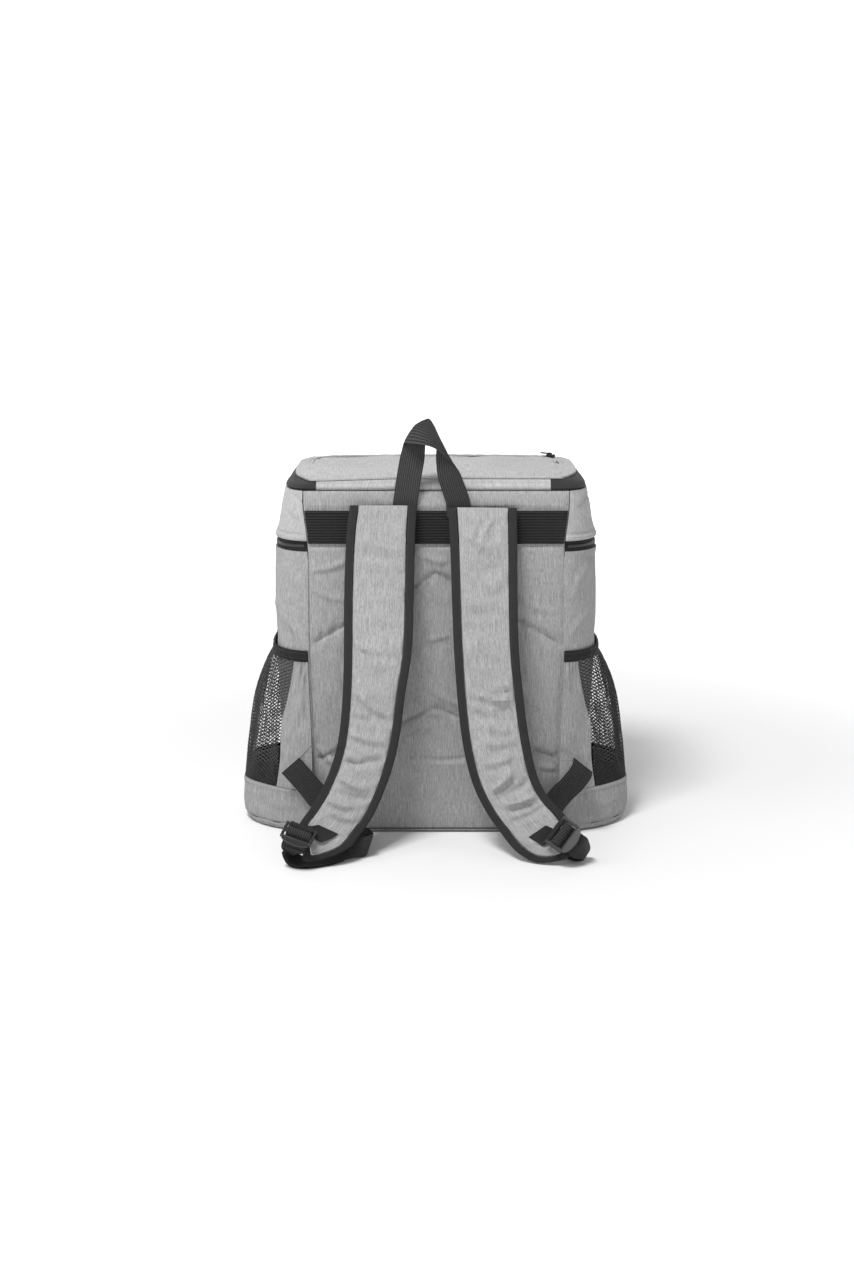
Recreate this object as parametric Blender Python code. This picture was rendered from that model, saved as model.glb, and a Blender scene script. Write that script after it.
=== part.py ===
"""Cooler backpack standing on its flat base.

Millimetres in the tables, metres in the scene. x runs to the right as one
looks at the back panel, y away from the wearer (the back panel is at
y = -95), z up from the floor. "d" is a distance in front of the back panel,
so y = -95 - d.
"""
import math
import bpy
import bmesh
import numpy as np

for ob in list(bpy.data.objects):
    bpy.data.objects.remove(ob, do_unlink=True)

MM = 0.001
BACK_Y = -95.0      # plane of the back panel
FRONT_Y = 95.0
GAP = 0.5           # clear space between neighbouring pieces

coll = bpy.data.collections.new("cooler_backpack")
bpy.context.scene.collection.children.link(coll)


# ---------------------------------------------------------------- materials
def material(name, rgb, rough=0.85, metal=0.0):
    m = bpy.data.materials.new(name)
    m.use_nodes = True
    b = m.node_tree.nodes.get("Principled BSDF")
    b.inputs["Base Color"].default_value = (rgb[0], rgb[1], rgb[2], 1.0)
    b.inputs["Roughness"].default_value = rough
    b.inputs["Metallic"].default_value = metal
    m.diffuse_color = (rgb[0], rgb[1], rgb[2], 1.0)
    return m


GREY = (0.34, 0.34, 0.35)
LIGHT = (0.42, 0.42, 0.43)
BLACK = (0.030, 0.030, 0.032)


# ------------------------------------------------------------------ helpers
def add_mesh(name, verts, faces, rgb, rough=0.85, smooth=True, metal=0.0):
    me = bpy.data.meshes.new(name)
    me.from_pydata([tuple(float(c) * MM for c in v) for v in verts], [], faces)
    bm = bmesh.new()
    bm.from_mesh(me)
    bmesh.ops.remove_doubles(bm, verts=bm.verts, dist=1e-6)
    bmesh.ops.recalc_face_normals(bm, faces=bm.faces)
    bm.to_mesh(me)
    bm.free()
    for p in me.polygons:
        p.use_smooth = smooth
    ob = bpy.data.objects.new(name, me)
    coll.objects.link(ob)
    me.materials.append(material(name + "_mat", rgb, rough, metal))
    return ob


def interp(table, key, cols):
    """Smooth (Catmull-Rom) reading of a table of rows at one key value."""
    t = np.array(table, float)
    k = t[:, 0]
    if k[0] > k[-1]:
        t = t[::-1]
        k = t[:, 0]
    key = min(max(key, k[0]), k[-1])
    i = int(min(max(np.searchsorted(k, key) - 1, 0), len(k) - 2))
    u = (key - k[i]) / (k[i + 1] - k[i])
    out = []
    for c in cols:
        p1, p2 = t[i, c], t[i + 1, c]
        m1 = (t[i + 1, c] - t[i - 1, c]) / (k[i + 1] - k[i - 1]) if i > 0 else (p2 - p1) / (k[i + 1] - k[i])
        m2 = (t[i + 2, c] - t[i, c]) / (k[i + 2] - k[i]) if i + 2 < len(k) else (p2 - p1) / (k[i + 1] - k[i])
        h = k[i + 1] - k[i]
        out.append((2 * u**3 - 3 * u**2 + 1) * p1 + (u**3 - 2 * u**2 + u) * h * m1
                   + (-2 * u**3 + 3 * u**2) * p2 + (u**3 - u**2) * h * m2)
    return out


def sheet_solid(name, outer, inner, rgb, rough=0.85, smooth=True):
    """Closed solid between two equal grids of points (rows x columns)."""
    outer, inner = np.array(outer, float), np.array(inner, float)
    nr, nc = outer.shape[:2]
    verts = list(outer.reshape(-1, 3)) + list(inner.reshape(-1, 3))
    o = nr * nc
    faces = []
    for r in range(nr - 1):
        for c in range(nc - 1):
            a, b, d, e = r * nc + c, r * nc + c + 1, (r + 1) * nc + c + 1, (r + 1) * nc + c
            faces.append((a, b, d, e))
            faces.append((o + a, o + e, o + d, o + b))
    edge = [(0, c) for c in range(nc)] + [(r, nc - 1) for r in range(1, nr)] \
        + [(nr - 1, c) for c in range(nc - 2, -1, -1)] + [(r, 0) for r in range(nr - 2, 0, -1)]
    ids = [r * nc + c for r, c in edge]
    for i, a in enumerate(ids):
        b = ids[(i + 1) % len(ids)]
        faces.append((a, o + a, o + b, b))
    return add_mesh(name, verts, faces, rgb, rough, smooth)


def grid_normals(g):
    """Unit normals of a grid of points, from its two directions."""
    g = np.array(g, float)
    du = np.gradient(g, axis=0)
    dv = np.gradient(g, axis=1)
    n = np.cross(dv, du)
    n /= np.maximum(np.linalg.norm(n, axis=2, keepdims=True), 1e-9)
    return n


def ring_solid(name, rings, rgb, rough=0.85, capped=False):
    """Solid from closed rings: capped at both ends, or joined end to end."""
    nr, nc = len(rings), len(rings[0])
    verts = [p for ring in rings for p in ring]
    faces = []
    last = nr - 1 if capped else nr
    for r in range(last):
        r2 = (r + 1) % nr
        for c in range(nc):
            c2 = (c + 1) % nc
            faces.append((r * nc + c, r * nc + c2, r2 * nc + c2, r2 * nc + c))
    if capped:
        faces.append(tuple(range(nc - 1, -1, -1)))
        faces.append(tuple((nr - 1) * nc + c for c in range(nc)))
    return add_mesh(name, verts, faces, rgb, rough)


def corner(cx, cy, sx, sy, rx, ry, n, count, outward):
    """Superellipse quarter from the back or front flat to the side."""
    pts = []
    for i in range(count + 1):
        t = 0.5 * math.pi * i / count
        x = cx + sx * rx * math.sin(t) ** (2.0 / n)
        y = cy + sy * ry * math.cos(t) ** (2.0 / n)
        pts.append((x, y))
    return pts if outward else pts[::-1]


# ---------------------------------------------- plan of the bag at a height
# z, half width at the back seams, half width of the bag, back y, front y
BODY = [
    (0.0, 126.0, 157.0, -90.0, 88.0),
    (4.0, 127.5, 161.0, -94.2, 91.5),
    (14.0, 129.0, 164.5, -94.6, 93.0),
    (60.0, 129.5, 166.5, -95.0, 94.0),
    (107.0, 129.5, 168.0, -95.0, 94.8),
    (196.0, 132.0, 170.6, -95.0, 95.0),
    (250.0, 132.0, 171.0, -95.0, 95.0),
    (313.0, 132.2, 168.4, -95.0, 94.5),
    (348.0, 135.6, 163.0, -95.0, 92.5),
    (368.0, 136.0, 159.0, -95.0, 90.5),
]
CORNER_DEPTH = 45.0
CORNER_POWER = 1.85
PAD = 8.6           # depth of the back panel's pad


def plan(z, inset=0.0, recess=0.0, n_back=7, n_cor=7, n_side=5, n_front=9):
    """Closed outline at height z, inset all round; the part of the back
    between the side seams can be set back to make room for the panel."""
    s, w, yb, yf = interp(BODY, z, (1, 2, 3, 4))
    rx, ry = w - s, CORNER_DEPTH
    k = inset
    wi, yi, fi = w - k, yb + k, yf - k
    si = s - 0.35 * k if recess == 0.0 else s + GAP
    pts = []
    for i in range(n_back):                       # back flat, left to right
        x = -si + 2 * si * i / (n_back - 1)
        pts.append((x, yi if recess == 0.0 else yb + recess))
    if recess > 0.0:
        pts.append((si, yi + 0.02))
    cyb, cyf = yb + ry, yf - ry
    right_b = corner(s - 0.35 * k, cyb, 1, -1, rx - 0.65 * k, ry - k, CORNER_POWER, n_cor, True)
    right_f = corner(s - 0.35 * k, cyf, 1, 1, rx - 0.65 * k, ry - k, CORNER_POWER, n_cor, False)
    pts += right_b[1:]
    for i in range(1, n_side):
        f = i / n_side
        pts.append((wi + 0.6 * math.sin(math.pi * f), cyb + (cyf - cyb) * f))
    pts += right_f
    for i in range(1, n_front):
        f = i / n_front
        pts.append(((s - 0.35 * k) * (1 - 2 * f), fi + 1.2 * math.sin(math.pi * f)))
    pts += [(-x, y) for x, y in right_f[::-1]]
    for i in range(1, n_side):
        f = i / n_side
        pts.append((-wi - 0.6 * math.sin(math.pi * f), cyf + (cyb - cyf) * f))
    pts += [(-x, y) for x, y in right_b[1:]][::-1]
    if recess > 0.0:
        pts.append((-si, yi + 0.02))
    return pts


def ring_at(z, inset=0.0, recess=0.0, zf=None):
    return [(x, y, z if zf is None else zf(x, y)) for x, y in plan(z, inset, recess)]


# ------------------------------------------------------------ body: the tub
WALL = 6.0
ZIP_LOW, ZIP_HIGH = 305.0, 315.6


outer_z = [4.0, 4.6, 14.0, 60.0, 107.0, 150.0, 196.0, 250.0, 290.0]
rings = [ring_at(0.0, 3.0, 0.05), ring_at(0.0, 0.0, 0.05)]
rings[0] = [(x * 0.97, y * 0.96, 0.0) for x, y, z in rings[0]]
rings[1] = [(x, y, 0.8) for x, y, z in rings[1]]
rings.append(ring_at(3.6, 0.0, 0.05))
for z in outer_z[1:]:
    rings.append(ring_at(z, 0.0, PAD))
rings.append(ring_at(ZIP_LOW, 0.0, PAD))


def inner_ring(z):
    pts = plan(z, WALL, PAD - 1.0)
    out = []
    s = interp(BODY, z, (1,))[0]
    for x, y in pts:
        x2 = x * (s + 2.0) / (s + GAP) if abs(x) <= s + GAP + 1e-6 and y < 0 else x
        out.append((x2, max(y, BACK_Y + PAD + WALL), z))
    return out


rings.append(inner_ring(ZIP_LOW))
for z in (290.0, 196.0, 107.0, 60.0, 16.0):
    rings.append(inner_ring(z))
rings.append([(x * 0.95, y * 0.93, 8.0) for x, y, z in inner_ring(16.0)])
ring_solid("body", rings, GREY, capped=True)


# -------------------------------------------------- back panel with quilting
PANEL_LOW, PANEL_HIGH = 5.4, 367.4
# chevron seams: apex z, z at the side seams, groove depth, groove half width
CHEVRONS = [(283.0, 206.0, 2.2, 5.0), (139.0, 80.0, 2.0, 5.0)]
BAND_LOW, BAND_HIGH = 313.0, 348.0


def panel_front(x, z):
    """Distance of the pad's front in front of the back plane."""
    s = interp(BODY, z, (1,))[0]
    edge = min(1.0, (s - abs(x)) / 14.0)
    ends = min(1.0, (z - PANEL_LOW) / 14.0, (PANEL_HIGH - z) / 10.0)
    d = -1.6 + 2.4 * math.sqrt(max(edge, 0.0)) * math.sqrt(max(ends, 0.0))
    for apex, side, deep, half in CHEVRONS:
        zc = apex + (side - apex) * abs(x) / s
        d -= deep * math.exp(-((z - zc) / half) ** 2) * min(1.0, edge * 2)
    if BAND_LOW - 3 < z < BAND_HIGH + 3:
        d = min(d, -0.9)
    return d


nx, zs = 14, [5.4, 12, 24, 48, 72, 82, 92, 102, 112, 122, 131, 139, 148, 175,
              200, 209, 219, 229, 239, 250, 260, 270, 279, 287, 298, 310.8, 330, 350.2,
              358, 367.4]
front, rear = [], []
for z in zs:
    s = interp(BODY, z, (1,))[0] - 0.1
    xs = [-s + 2 * s * i / nx for i in range(nx + 1)]
    front.append([(x, BACK_Y - panel_front(x, z), z) for x in xs])
    rear.append([(x, BACK_Y + PAD - GAP, z) for x in xs])
sheet_solid("back_panel", front, rear, GREY)


# ------------------------------------------------- yoke band across the back
band_f, band_r = [], []
for i in range(13):
    f = i / 12.0
    cf, cr = [], []
    for z in (BAND_LOW + 0.4, 0.5 * (BAND_LOW + BAND_HIGH), BAND_HIGH - 0.4):
        s = interp(BODY, z, (1,))[0] - 0.8
        x = -s + 2 * s * f
        cf.append((x, BACK_Y - 0.9, z))
        cr.append((x, BACK_Y + 0.55, z))
    band_f.append(cf)
    band_r.append(cr)
sheet_solid("yoke_band", band_f, band_r, BLACK)


# ------------------------------------- lid: upper section, rim, top and zips
UP_WALL = 4.5
fold = [(316.0, 0.2), (317.5, -1.2), (320.5, -1.2), (322.5, 0.6)]   # piping fold above the zip
rows_out = [(z, k) for z, k in fold] + [(334.0, 0.3), (348.0, 0.3), (360.0, 0.3), (367.6, 1.4)]
rings = []
for z, k in rows_out:
    rings.append([(x, y, z) for x, y in plan(z, k, PAD)])


def upper_inner(z):
    out = []
    s = interp(BODY, z, (1,))[0]
    for x, y in plan(z, UP_WALL, PAD - 1.0):
        x2 = x * (s + 2.0) / (s + GAP) if abs(x) <= s + GAP + 1e-6 and y < 0 else x
        out.append((x2, max(y, BACK_Y + PAD + UP_WALL), z))
    return out


for z in (367.6, 350.0, 334.0, 316.0):
    rings.append(upper_inner(z))
ring_solid("upper_section", rings, LIGHT)

# zip band: from one back seam round the sides and front to the other
ZIP_T = 1.6


def open_path(z, inset, n_cor=7, n_side=5, n_front=9):
    """Open outline from the right back seam round the front to the left."""
    full = plan(z, inset, 0.0, 7, n_cor, n_side, n_front)
    return full[6:] + [full[0]]


path_lo = open_path(ZIP_LOW, 1.2)
path_hi = open_path(ZIP_HIGH, 1.2)
in_lo = open_path(ZIP_LOW, 1.2 + ZIP_T)
in_hi = open_path(ZIP_HIGH, 1.2 + ZIP_T)


def trim_start(path):
    p = list(path)
    p[0] = (p[0][0] + 1.2, p[0][1])
    p[-1] = (p[-1][0] - 1.2, p[-1][1])
    return p


zo, zi = [], []
for a, b, c, d in zip(trim_start(path_lo), trim_start(path_hi), trim_start(in_lo), trim_start(in_hi)):
    zo.append([(a[0], a[1], ZIP_LOW + GAP), (b[0], b[1], ZIP_HIGH - 0.2)])
    zi.append([(c[0], c[1], ZIP_LOW + GAP), (d[0], d[1], ZIP_HIGH - 0.2)])
sheet_solid("main_zip", zo, zi, BLACK)

# rim: leans inward from the upper section to the lid
# z, half width at the back seams, half width, back y, front y
RIM = [
    (368.1, 133.0, 156.0, -91.0, 89.0),
    (373.0, 131.0, 153.6, -89.4, 87.5),
    (378.6, 127.0, 149.0, -85.6, 84.0),
]
RIM_WALL = 3.0
RIM_CUT_LEFT, RIM_CUT_RIGHT = -123.0, 117.3   # where grey changes to black


def lid_height(x, y):
    """Height of the lid's top, slightly domed and rising from the back."""
    a = 1.0 - math.exp(-max(y + 86.0, 0.0) / 30.0)
    b = max(0.0, 1.0 - (x / 150.0) ** 2)
    sag = 2.6 * min(1.0, max(0.0, (-x - 40.0) / 80.0)) * math.exp(-max(y + 86.0, 0.0) / 60.0)
    return 379.2 + 3.0 * a + 1.6 * b * a - sag


def rim_outline(row, inset, n_back=9):
    z, s, w, yb, yf = row
    s -= 0.35 * inset
    rx, ry = w - s - inset, 42.0 - inset
    rb = corner(s, yb + 42.0, 1, -1, rx, ry, 1.9, 7, True)
    rf = corner(s, yf - 42.0, 1, 1, rx, ry, 1.9, 7, False)
    back = [(-s + 2 * s * i / (n_back - 1), yb + inset) for i in range(n_back)]
    pts = back + rb[1:] + [(w - inset, (yb + yf) * 0.5 + dy) for dy in (-28, 0, 28)] + rf
    pts += [(s * (1 - 2 * i / 8.0), yf - inset) for i in range(1, 8)]
    pts += [(-x, y) for x, y in rf[::-1]] + [(-w + inset, (yb + yf) * 0.5 + dy) for dy in (28, 0, -28)]
    pts += [(-x, y) for x, y in rb[1:]][::-1]
    return pts


def cut_open(pts, x_left, x_right, keep_back):
    """Part of a closed outline behind, or in front of, two cuts on its back flat."""
    yb = min(p[1] for p in pts)
    back = [p for p in pts if p[1] < yb + 0.01 and x_left < p[0] < x_right]
    if keep_back:
        return [(x_left, yb)] + back + [(x_right, yb)]
    rest, n = [], len(pts)
    start = max(i for i, p in enumerate(pts) if p[1] < yb + 0.01 and p[0] <= x_right) + 1
    for i in range(n):
        p = pts[(start + i) % n]
        if p[1] < yb + 0.01 and x_left <= p[0] <= x_right:
            continue
        rest.append(p)
    return [(x_right, yb)] + rest + [(x_left, yb)]


def rim_piece(name, keep_back, rgb):
    xl, xr = (RIM_CUT_LEFT + 0.25, RIM_CUT_RIGHT - 0.25) if keep_back else (RIM_CUT_LEFT - 0.25, RIM_CUT_RIGHT + 0.25)
    out, inn = [], []
    for row in RIM:
        o = cut_open(rim_outline(row, 0.0), xl, xr, keep_back)
        n = cut_open(rim_outline(row, RIM_WALL), xl, xr, keep_back)
        bulge = 0.8 if row is RIM[1] else 0.0
        zt = (lambda x, y: lid_height(x, y) - 0.6) if row is RIM[2] else (lambda x, y: row[0])
        out.append([(x + math.copysign(bulge, x) * (abs(x) > 130), y - bulge * (y < -60), zt(x, y)) for x, y in o])
        inn.append([(x, y, zt(x, y)) for x, y in n])
    sheet_solid(name, out, inn, rgb)


rim_piece("rim_back", True, LIGHT)
rim_piece("rim_trim", False, BLACK)

# the top: one cloth on a gentle dome, slit near its front edge for the zip
TOP_T = 2.6
TOP_HALF, TOP_BACK, TOP_FRONT = 148.6, -85.2, 83.6
SLIT_OUT, SLIT_IN = 13.0, 19.0    # the slit's two sides, inward from the edge
SLIT_FROM = 3                     # outline station where the slit starts and ends
LEGS, BEND = 6, 7                 # stations along a side and round a front corner


def u_path(inset, radius=42.0):
    """Open U: up the right side, round the front, down the left side."""
    w, f = TOP_HALF - inset, TOP_FRONT - inset
    r = max(radius - inset, 8.0)
    leg = f - r - TOP_BACK
    pts = [(w, TOP_BACK + 0.3 + leg * share) for share in (0.0, 0.2, 0.42, 0.68, 0.8, 0.92)]
    pts += [(w - r + r * math.cos(a), f - r + r * math.sin(a)) for a in [0.5 * math.pi * i / BEND for i in range(BEND + 1)]]
    pts += [((w - r) * (1 - 2 * i / 6.0), f) for i in range(1, 6)]
    pts += [(-x, y) for x, y in pts[:LEGS + BEND + 1]][::-1]
    return [(back_narrow(x, y), y) for x, y in pts]


def back_narrow(x, y, s=127.0):
    """The lid's outline narrows toward its back corners."""
    if y > TOP_BACK + 42.0:
        return x
    t = min(1.0, (TOP_BACK + 42.0 - y) / 42.0)
    lim = s + (TOP_HALF - s) * (1.0 - t ** 1.9) ** (1 / 1.9)
    return x * lim / TOP_HALF


def cloth_solid(name, verts_top, thick, quads, rgb):
    """Closed solid under a patchwork of faces, walled at every open edge."""
    top = [np.array(v, float) for v in verts_top]
    low = [v - np.array((0, 0, thick)) for v in top]
    n = len(top)
    faces, edges = [], {}
    for q in quads:
        faces.append(tuple(q))
        faces.append(tuple(n + i for i in reversed(q)))
        for a, b in zip(q, q[1:] + q[:1]):
            edges[(a, b)] = edges.get((a, b), 0) + 1
    for (a, b) in edges:
        if (b, a) not in edges:
            faces.append((b, a, n + a, n + b))
    return add_mesh(name, top + low, faces, rgb)


def lid_top():
    rings = [u_path(k) for k in (0.4, 7.0, SLIT_OUT, SLIT_IN, 26.0)]
    nc, last = len(rings[0]), len(rings[0]) - 1
    verts, quads = [], []
    for ring in rings:
        verts += [(x, y, lid_height(x, y) + 2.4) for x, y in ring]
    for r in range(len(rings) - 1):
        for c in range(nc - 1):
            if r == 2 and SLIT_FROM <= c < last - SLIT_FROM:
                continue
            quads.append([r * nc + c, r * nc + c + 1, (r + 1) * nc + c + 1, (r + 1) * nc + c])
    # the middle, from station to station across
    inner, across = rings[-1], 8
    grid = []
    for i in range(LEGS + BEND + 1):
        row = [(len(rings) - 1) * nc + i]
        (xr, yr), (xl, yl) = inner[i], inner[last - i]
        if i < LEGS + BEND:
            for j in range(1, across):
                x = xr + (xl - xr) * j / across
                verts.append((x, yr, lid_height(x, yr) + 2.4))
                row.append(len(verts) - 1)
            row.append((len(rings) - 1) * nc + last - i)
        grid.append(row)
    front = [(len(rings) - 1) * nc + LEGS + BEND + i for i in range(last - 2 * (LEGS + BEND) + 1)]
    for i in range(LEGS + BEND - 1):
        for j in range(across):
            quads.append([grid[i][j], grid[i + 1][j], grid[i + 1][j + 1], grid[i][j + 1]])
    # the last row has as many stations as the front edge: six and eight across
    a, b = grid[LEGS + BEND - 1], front
    ia = ib = 0
    while ia < len(a) - 1 or ib < len(b) - 1:
        if ib == len(b) - 1 or (ia < len(a) - 1 and (ia + 1) / (len(a) - 1) <= (ib + 1) / (len(b) - 1)):
            quads.append([a[ia], b[ib], a[ia + 1]])
            ia += 1
        else:
            quads.append([a[ia], b[ib], b[ib + 1]])
            ib += 1
    cloth_solid("lid_top", verts, TOP_T, quads, LIGHT)


lid_top()
top, low = [], []
for k in (SLIT_OUT + 0.5, 0.5 * (SLIT_OUT + SLIT_IN), SLIT_IN - 0.5):
    row = u_path(k)[SLIT_FROM:-SLIT_FROM]
    row[0] = (row[0][0], row[0][1] + 0.8)
    row[-1] = (row[-1][0], row[-1][1] + 0.8)
    top.append([(x, y, lid_height(x, y) + 1.4) for x, y in row])
    low.append([(x, y, lid_height(x, y)) for x, y in row])
sheet_solid("lid_zip", top, low, BLACK)


def bar(name, at, ax, size, rgb, rough=0.45, metal=0.0):
    """Small rounded block in a local frame; ax holds its three unit axes."""
    bm = bmesh.new()
    bmesh.ops.create_cube(bm, size=1.0)
    for v in bm.verts:
        v.co.x *= size[0]
        v.co.y *= size[1]
        v.co.z *= size[2]
    bmesh.ops.bevel(bm, geom=bm.edges[:], offset=min(size) * 0.28, segments=2, profile=0.5, affect='EDGES')
    verts = [np.array(at) + ax[0] * v.co.x + ax[1] * v.co.y + ax[2] * v.co.z for v in bm.verts]
    faces = [tuple(v.index for v in f.verts) for f in bm.faces]
    bm.free()
    return verts, faces


def unit(v):
    v = np.array(v, float)
    return v / np.linalg.norm(v)


def frame_from(a, b):
    a = unit(a)
    b = np.array(b, float)
    b = unit(b - a * np.dot(a, b))
    n = np.cross(a, b)
    if n[2] < 0:
        n = -n
    return a, b, n


def join_boxes(name, boxes, rgb, rough=0.45, metal=0.0, extra=None):
    """One solid from overlapping blocks, by exact union."""
    obs = []
    blocks = [bar("b", at, ax, size, rgb) for at, ax, size in boxes] + ([extra] if extra else [])
    for i, (verts, faces) in enumerate(blocks):
        me = bpy.data.meshes.new(name + "_%d" % i)
        me.from_pydata([tuple(float(c) * MM for c in v) for v in verts], [], faces)
        ob = bpy.data.objects.new(name + "_%d" % i, me)
        coll.objects.link(ob)
        obs.append(ob)
    base = obs[0]
    for ob in obs[1:]:
        mod = base.modifiers.new("u", 'BOOLEAN')
        mod.operation = 'UNION'
        mod.solver = 'EXACT'
        mod.object = ob
    dg = bpy.context.evaluated_depsgraph_get()
    ev = base.evaluated_get(dg)
    me = bpy.data.meshes.new_from_object(ev)
    for ob in obs:
        bpy.data.objects.remove(ob, do_unlink=True)
    bm = bmesh.new()
    bm.from_mesh(me)
    bmesh.ops.remove_doubles(bm, verts=bm.verts, dist=1e-6)
    bmesh.ops.recalc_face_normals(bm, faces=bm.faces)
    bm.to_mesh(me)
    bm.free()
    me.name = name
    ob = bpy.data.objects.new(name, me)
    coll.objects.link(ob)
    me.materials.append(material(name + "_mat", rgb, rough, metal))
    return ob


X, Y, Z = np.array((1.0, 0, 0)), np.array((0, 1.0, 0)), np.array((0, 0, 1.0))

# sliders: body straddling the coil and a hanging pull
sx, sy = 128.0, 58.5
sz = lid_height(sx, sy) + 1.9
a, b, n = frame_from((0.72, -0.69, 0.0), (0.69, 0.72, 0.0))
join_boxes("lid_zip_slider", [
    (np.array((sx, sy, sz + 2.4)), (a, b, n), (9.0, 6.5, 3.6)),
    (np.array((sx, sy, sz + 4.8)) - a * 1.0, (a, b, n), (5.0, 2.2, 2.4)),
    (np.array((sx, sy, sz + 4.9)) - a * 7.5, (a, b, n), (12.0, 3.8, 1.4)),
], BLACK, 0.35, 0.6)
fy = interp(BODY, 310.0, (4,))[0] + 1.2
join_boxes("main_zip_slider", [
    ((0.0, fy + 1.6, 310.2), (X, Y, Z), (9.0, 4.0, 7.0)),
    ((0.0, fy + 4.1, 309.6), (X, Y, Z), (2.2, 2.4, 5.0)),
    ((0.0, fy + 4.4, 300.0), (X, Y, Z), (4.2, 1.4, 18.0)),
], BLACK, 0.35, 0.6)


# --------------------------------------------------------------- ribbons
def ribbon(name, rows, thick, rgb, across=2, subdiv=3, rough=0.85, floor=0.25):
    """Webbing from rows of its two edges (x, d, z each), smoothed along."""
    rows = np.array([[r[0], BACK_Y - r[1], r[2], r[3], BACK_Y - r[4], r[5]] for r in rows], float)
    n = len(rows)
    keyed = [[i] + list(r) for i, r in enumerate(rows)]
    mid = []
    for j in range((n - 1) * subdiv + 1):
        e = interp(keyed, j / subdiv, (1, 2, 3, 4, 5, 6))
        a, b = np.array(e[:3]), np.array(e[3:])
        mid.append([a + (b - a) * c / across for c in range(across + 1)])
    mid = np.array(mid)
    nrm = grid_normals(mid)
    top = mid + nrm * thick * 0.5
    low = mid - nrm * thick * 0.5
    top[:, :, 2] = np.maximum(top[:, :, 2], floor)
    low[:, :, 2] = np.maximum(low[:, :, 2], floor)
    return sheet_solid(name, top, low, rgb, rough), mid, nrm


# carry handle: edge A turns over at the front of the crown, edge B behind
# A: x, d, z; B: x, d, z
HANDLE = [
    (-45.2, 1.9, 341.0, -19.9, 1.9, 341.0),
    (-44.6, 2.6, 352.0, -19.4, 2.6, 352.0),
    (-41.0, 6.5, 378.5, -15.8, 6.5, 378.5),
    (-37.5, 9.5, 399.0, -12.2, 9.0, 399.0),
    (-34.4, 12.0, 412.6, -11.2, 10.5, 413.0),
    (-32.1, 14.5, 418.0, -10.7, 10.5, 427.0),
    (-28.3, 18.0, 418.3, -10.4, 9.5, 435.0),
    (-22.3, 21.0, 418.2, -9.7, 8.0, 440.0),
    (-15.1, 23.0, 417.5, -8.2, 7.0, 441.8),
    (-7.1, 22.5, 415.8, -5.2, 7.0, 439.6),
    (-1.1, 20.5, 413.2, -1.9, 8.0, 433.2),
    (4.9, 18.5, 408.5, -0.1, 9.0, 425.4),
    (9.8, 16.0, 403.2, 0.2, 9.8, 415.0),
    (16.3, 13.5, 397.2, -0.3, 10.0, 403.6),
    (22.8, 11.5, 389.7, 0.7, 9.5, 388.7),
    (27.0, 9.5, 380.2, 3.3, 8.0, 377.0),
    (31.5, 6.5, 368.2, 6.4, 6.2, 367.2),
    (34.8, 3.6, 356.0, 10.0, 3.6, 355.5),
    (35.3, 2.0, 342.0, 10.4, 2.0, 341.5),
]
ribbon("carry_handle", HANDLE, 1.9, BLACK, 2, 2)

# shoulder straps at full width: outer edge x, d, z, then inner edge x, d, z
# (d is the front face; rows run from the top seam to past the round tip)
STRAP_L = [
    (-87.8, 9.6, 354.6, -19.8, 9.6, 354.4),
    (-91.8, 15.0, 319.8, -21.6, 15.0, 319.8),
    (-94.1, 24.0, 259.4, -23.0, 24.0, 259.4),
    (-94.5, 32.0, 208.9, -24.9, 32.0, 208.9),
    (-95.9, 40.0, 163.4, -31.9, 40.0, 163.4),
    (-99.2, 48.0, 126.0, -37.1, 47.0, 122.9),
    (-105.5, 57.0, 98.0, -44.8, 55.0, 90.0),
    (-116.5, 68.0, 72.0, -53.4, 63.0, 66.9),
    (-128.2, 79.0, 54.5, -64.5, 73.0, 44.5),
    (-137.9, 88.0, 42.5, -77.5, 84.0, 28.5),
    (-138.9, 96.0, 35.0, -87.3, 95.0, 20.0),
    (-136.6, 103.0, 25.6, -104.0, 103.0, 12.0),
    (-137.6, 109.5, 16.5, -127.0, 110.0, 4.0),
]
STRAP_R = [
    (82.1, 9.6, 352.0, 11.9, 9.6, 352.6),
    (82.5, 15.0, 319.8, 14.0, 15.0, 319.8),
    (83.2, 24.0, 259.4, 16.1, 24.0, 259.4),
    (84.7, 32.0, 208.9, 18.2, 32.0, 208.9),
    (89.8, 40.0, 158.1, 21.9, 40.0, 158.1),
    (96.4, 48.0, 113.0, 27.5, 48.0, 112.5),
    (104.6, 56.0, 80.0, 36.8, 56.0, 75.3),
    (115.6, 64.0, 61.0, 50.1, 64.0, 48.0),
    (128.4, 73.0, 49.5, 65.3, 73.0, 27.5),
    (136.0, 82.0, 41.0, 79.8, 85.0, 12.5),
    (137.0, 89.0, 34.8, 95.1, 92.0, 4.0),
    (138.0, 95.0, 26.0, 111.8, 98.0, 3.0),
    (137.0, 99.5, 16.3, 127.0, 101.0, 3.6),
]
BIND_W = 8.6          # width of the binding
TIP_ROWS = 1.8        # rows over which the tip rounds off


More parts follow.
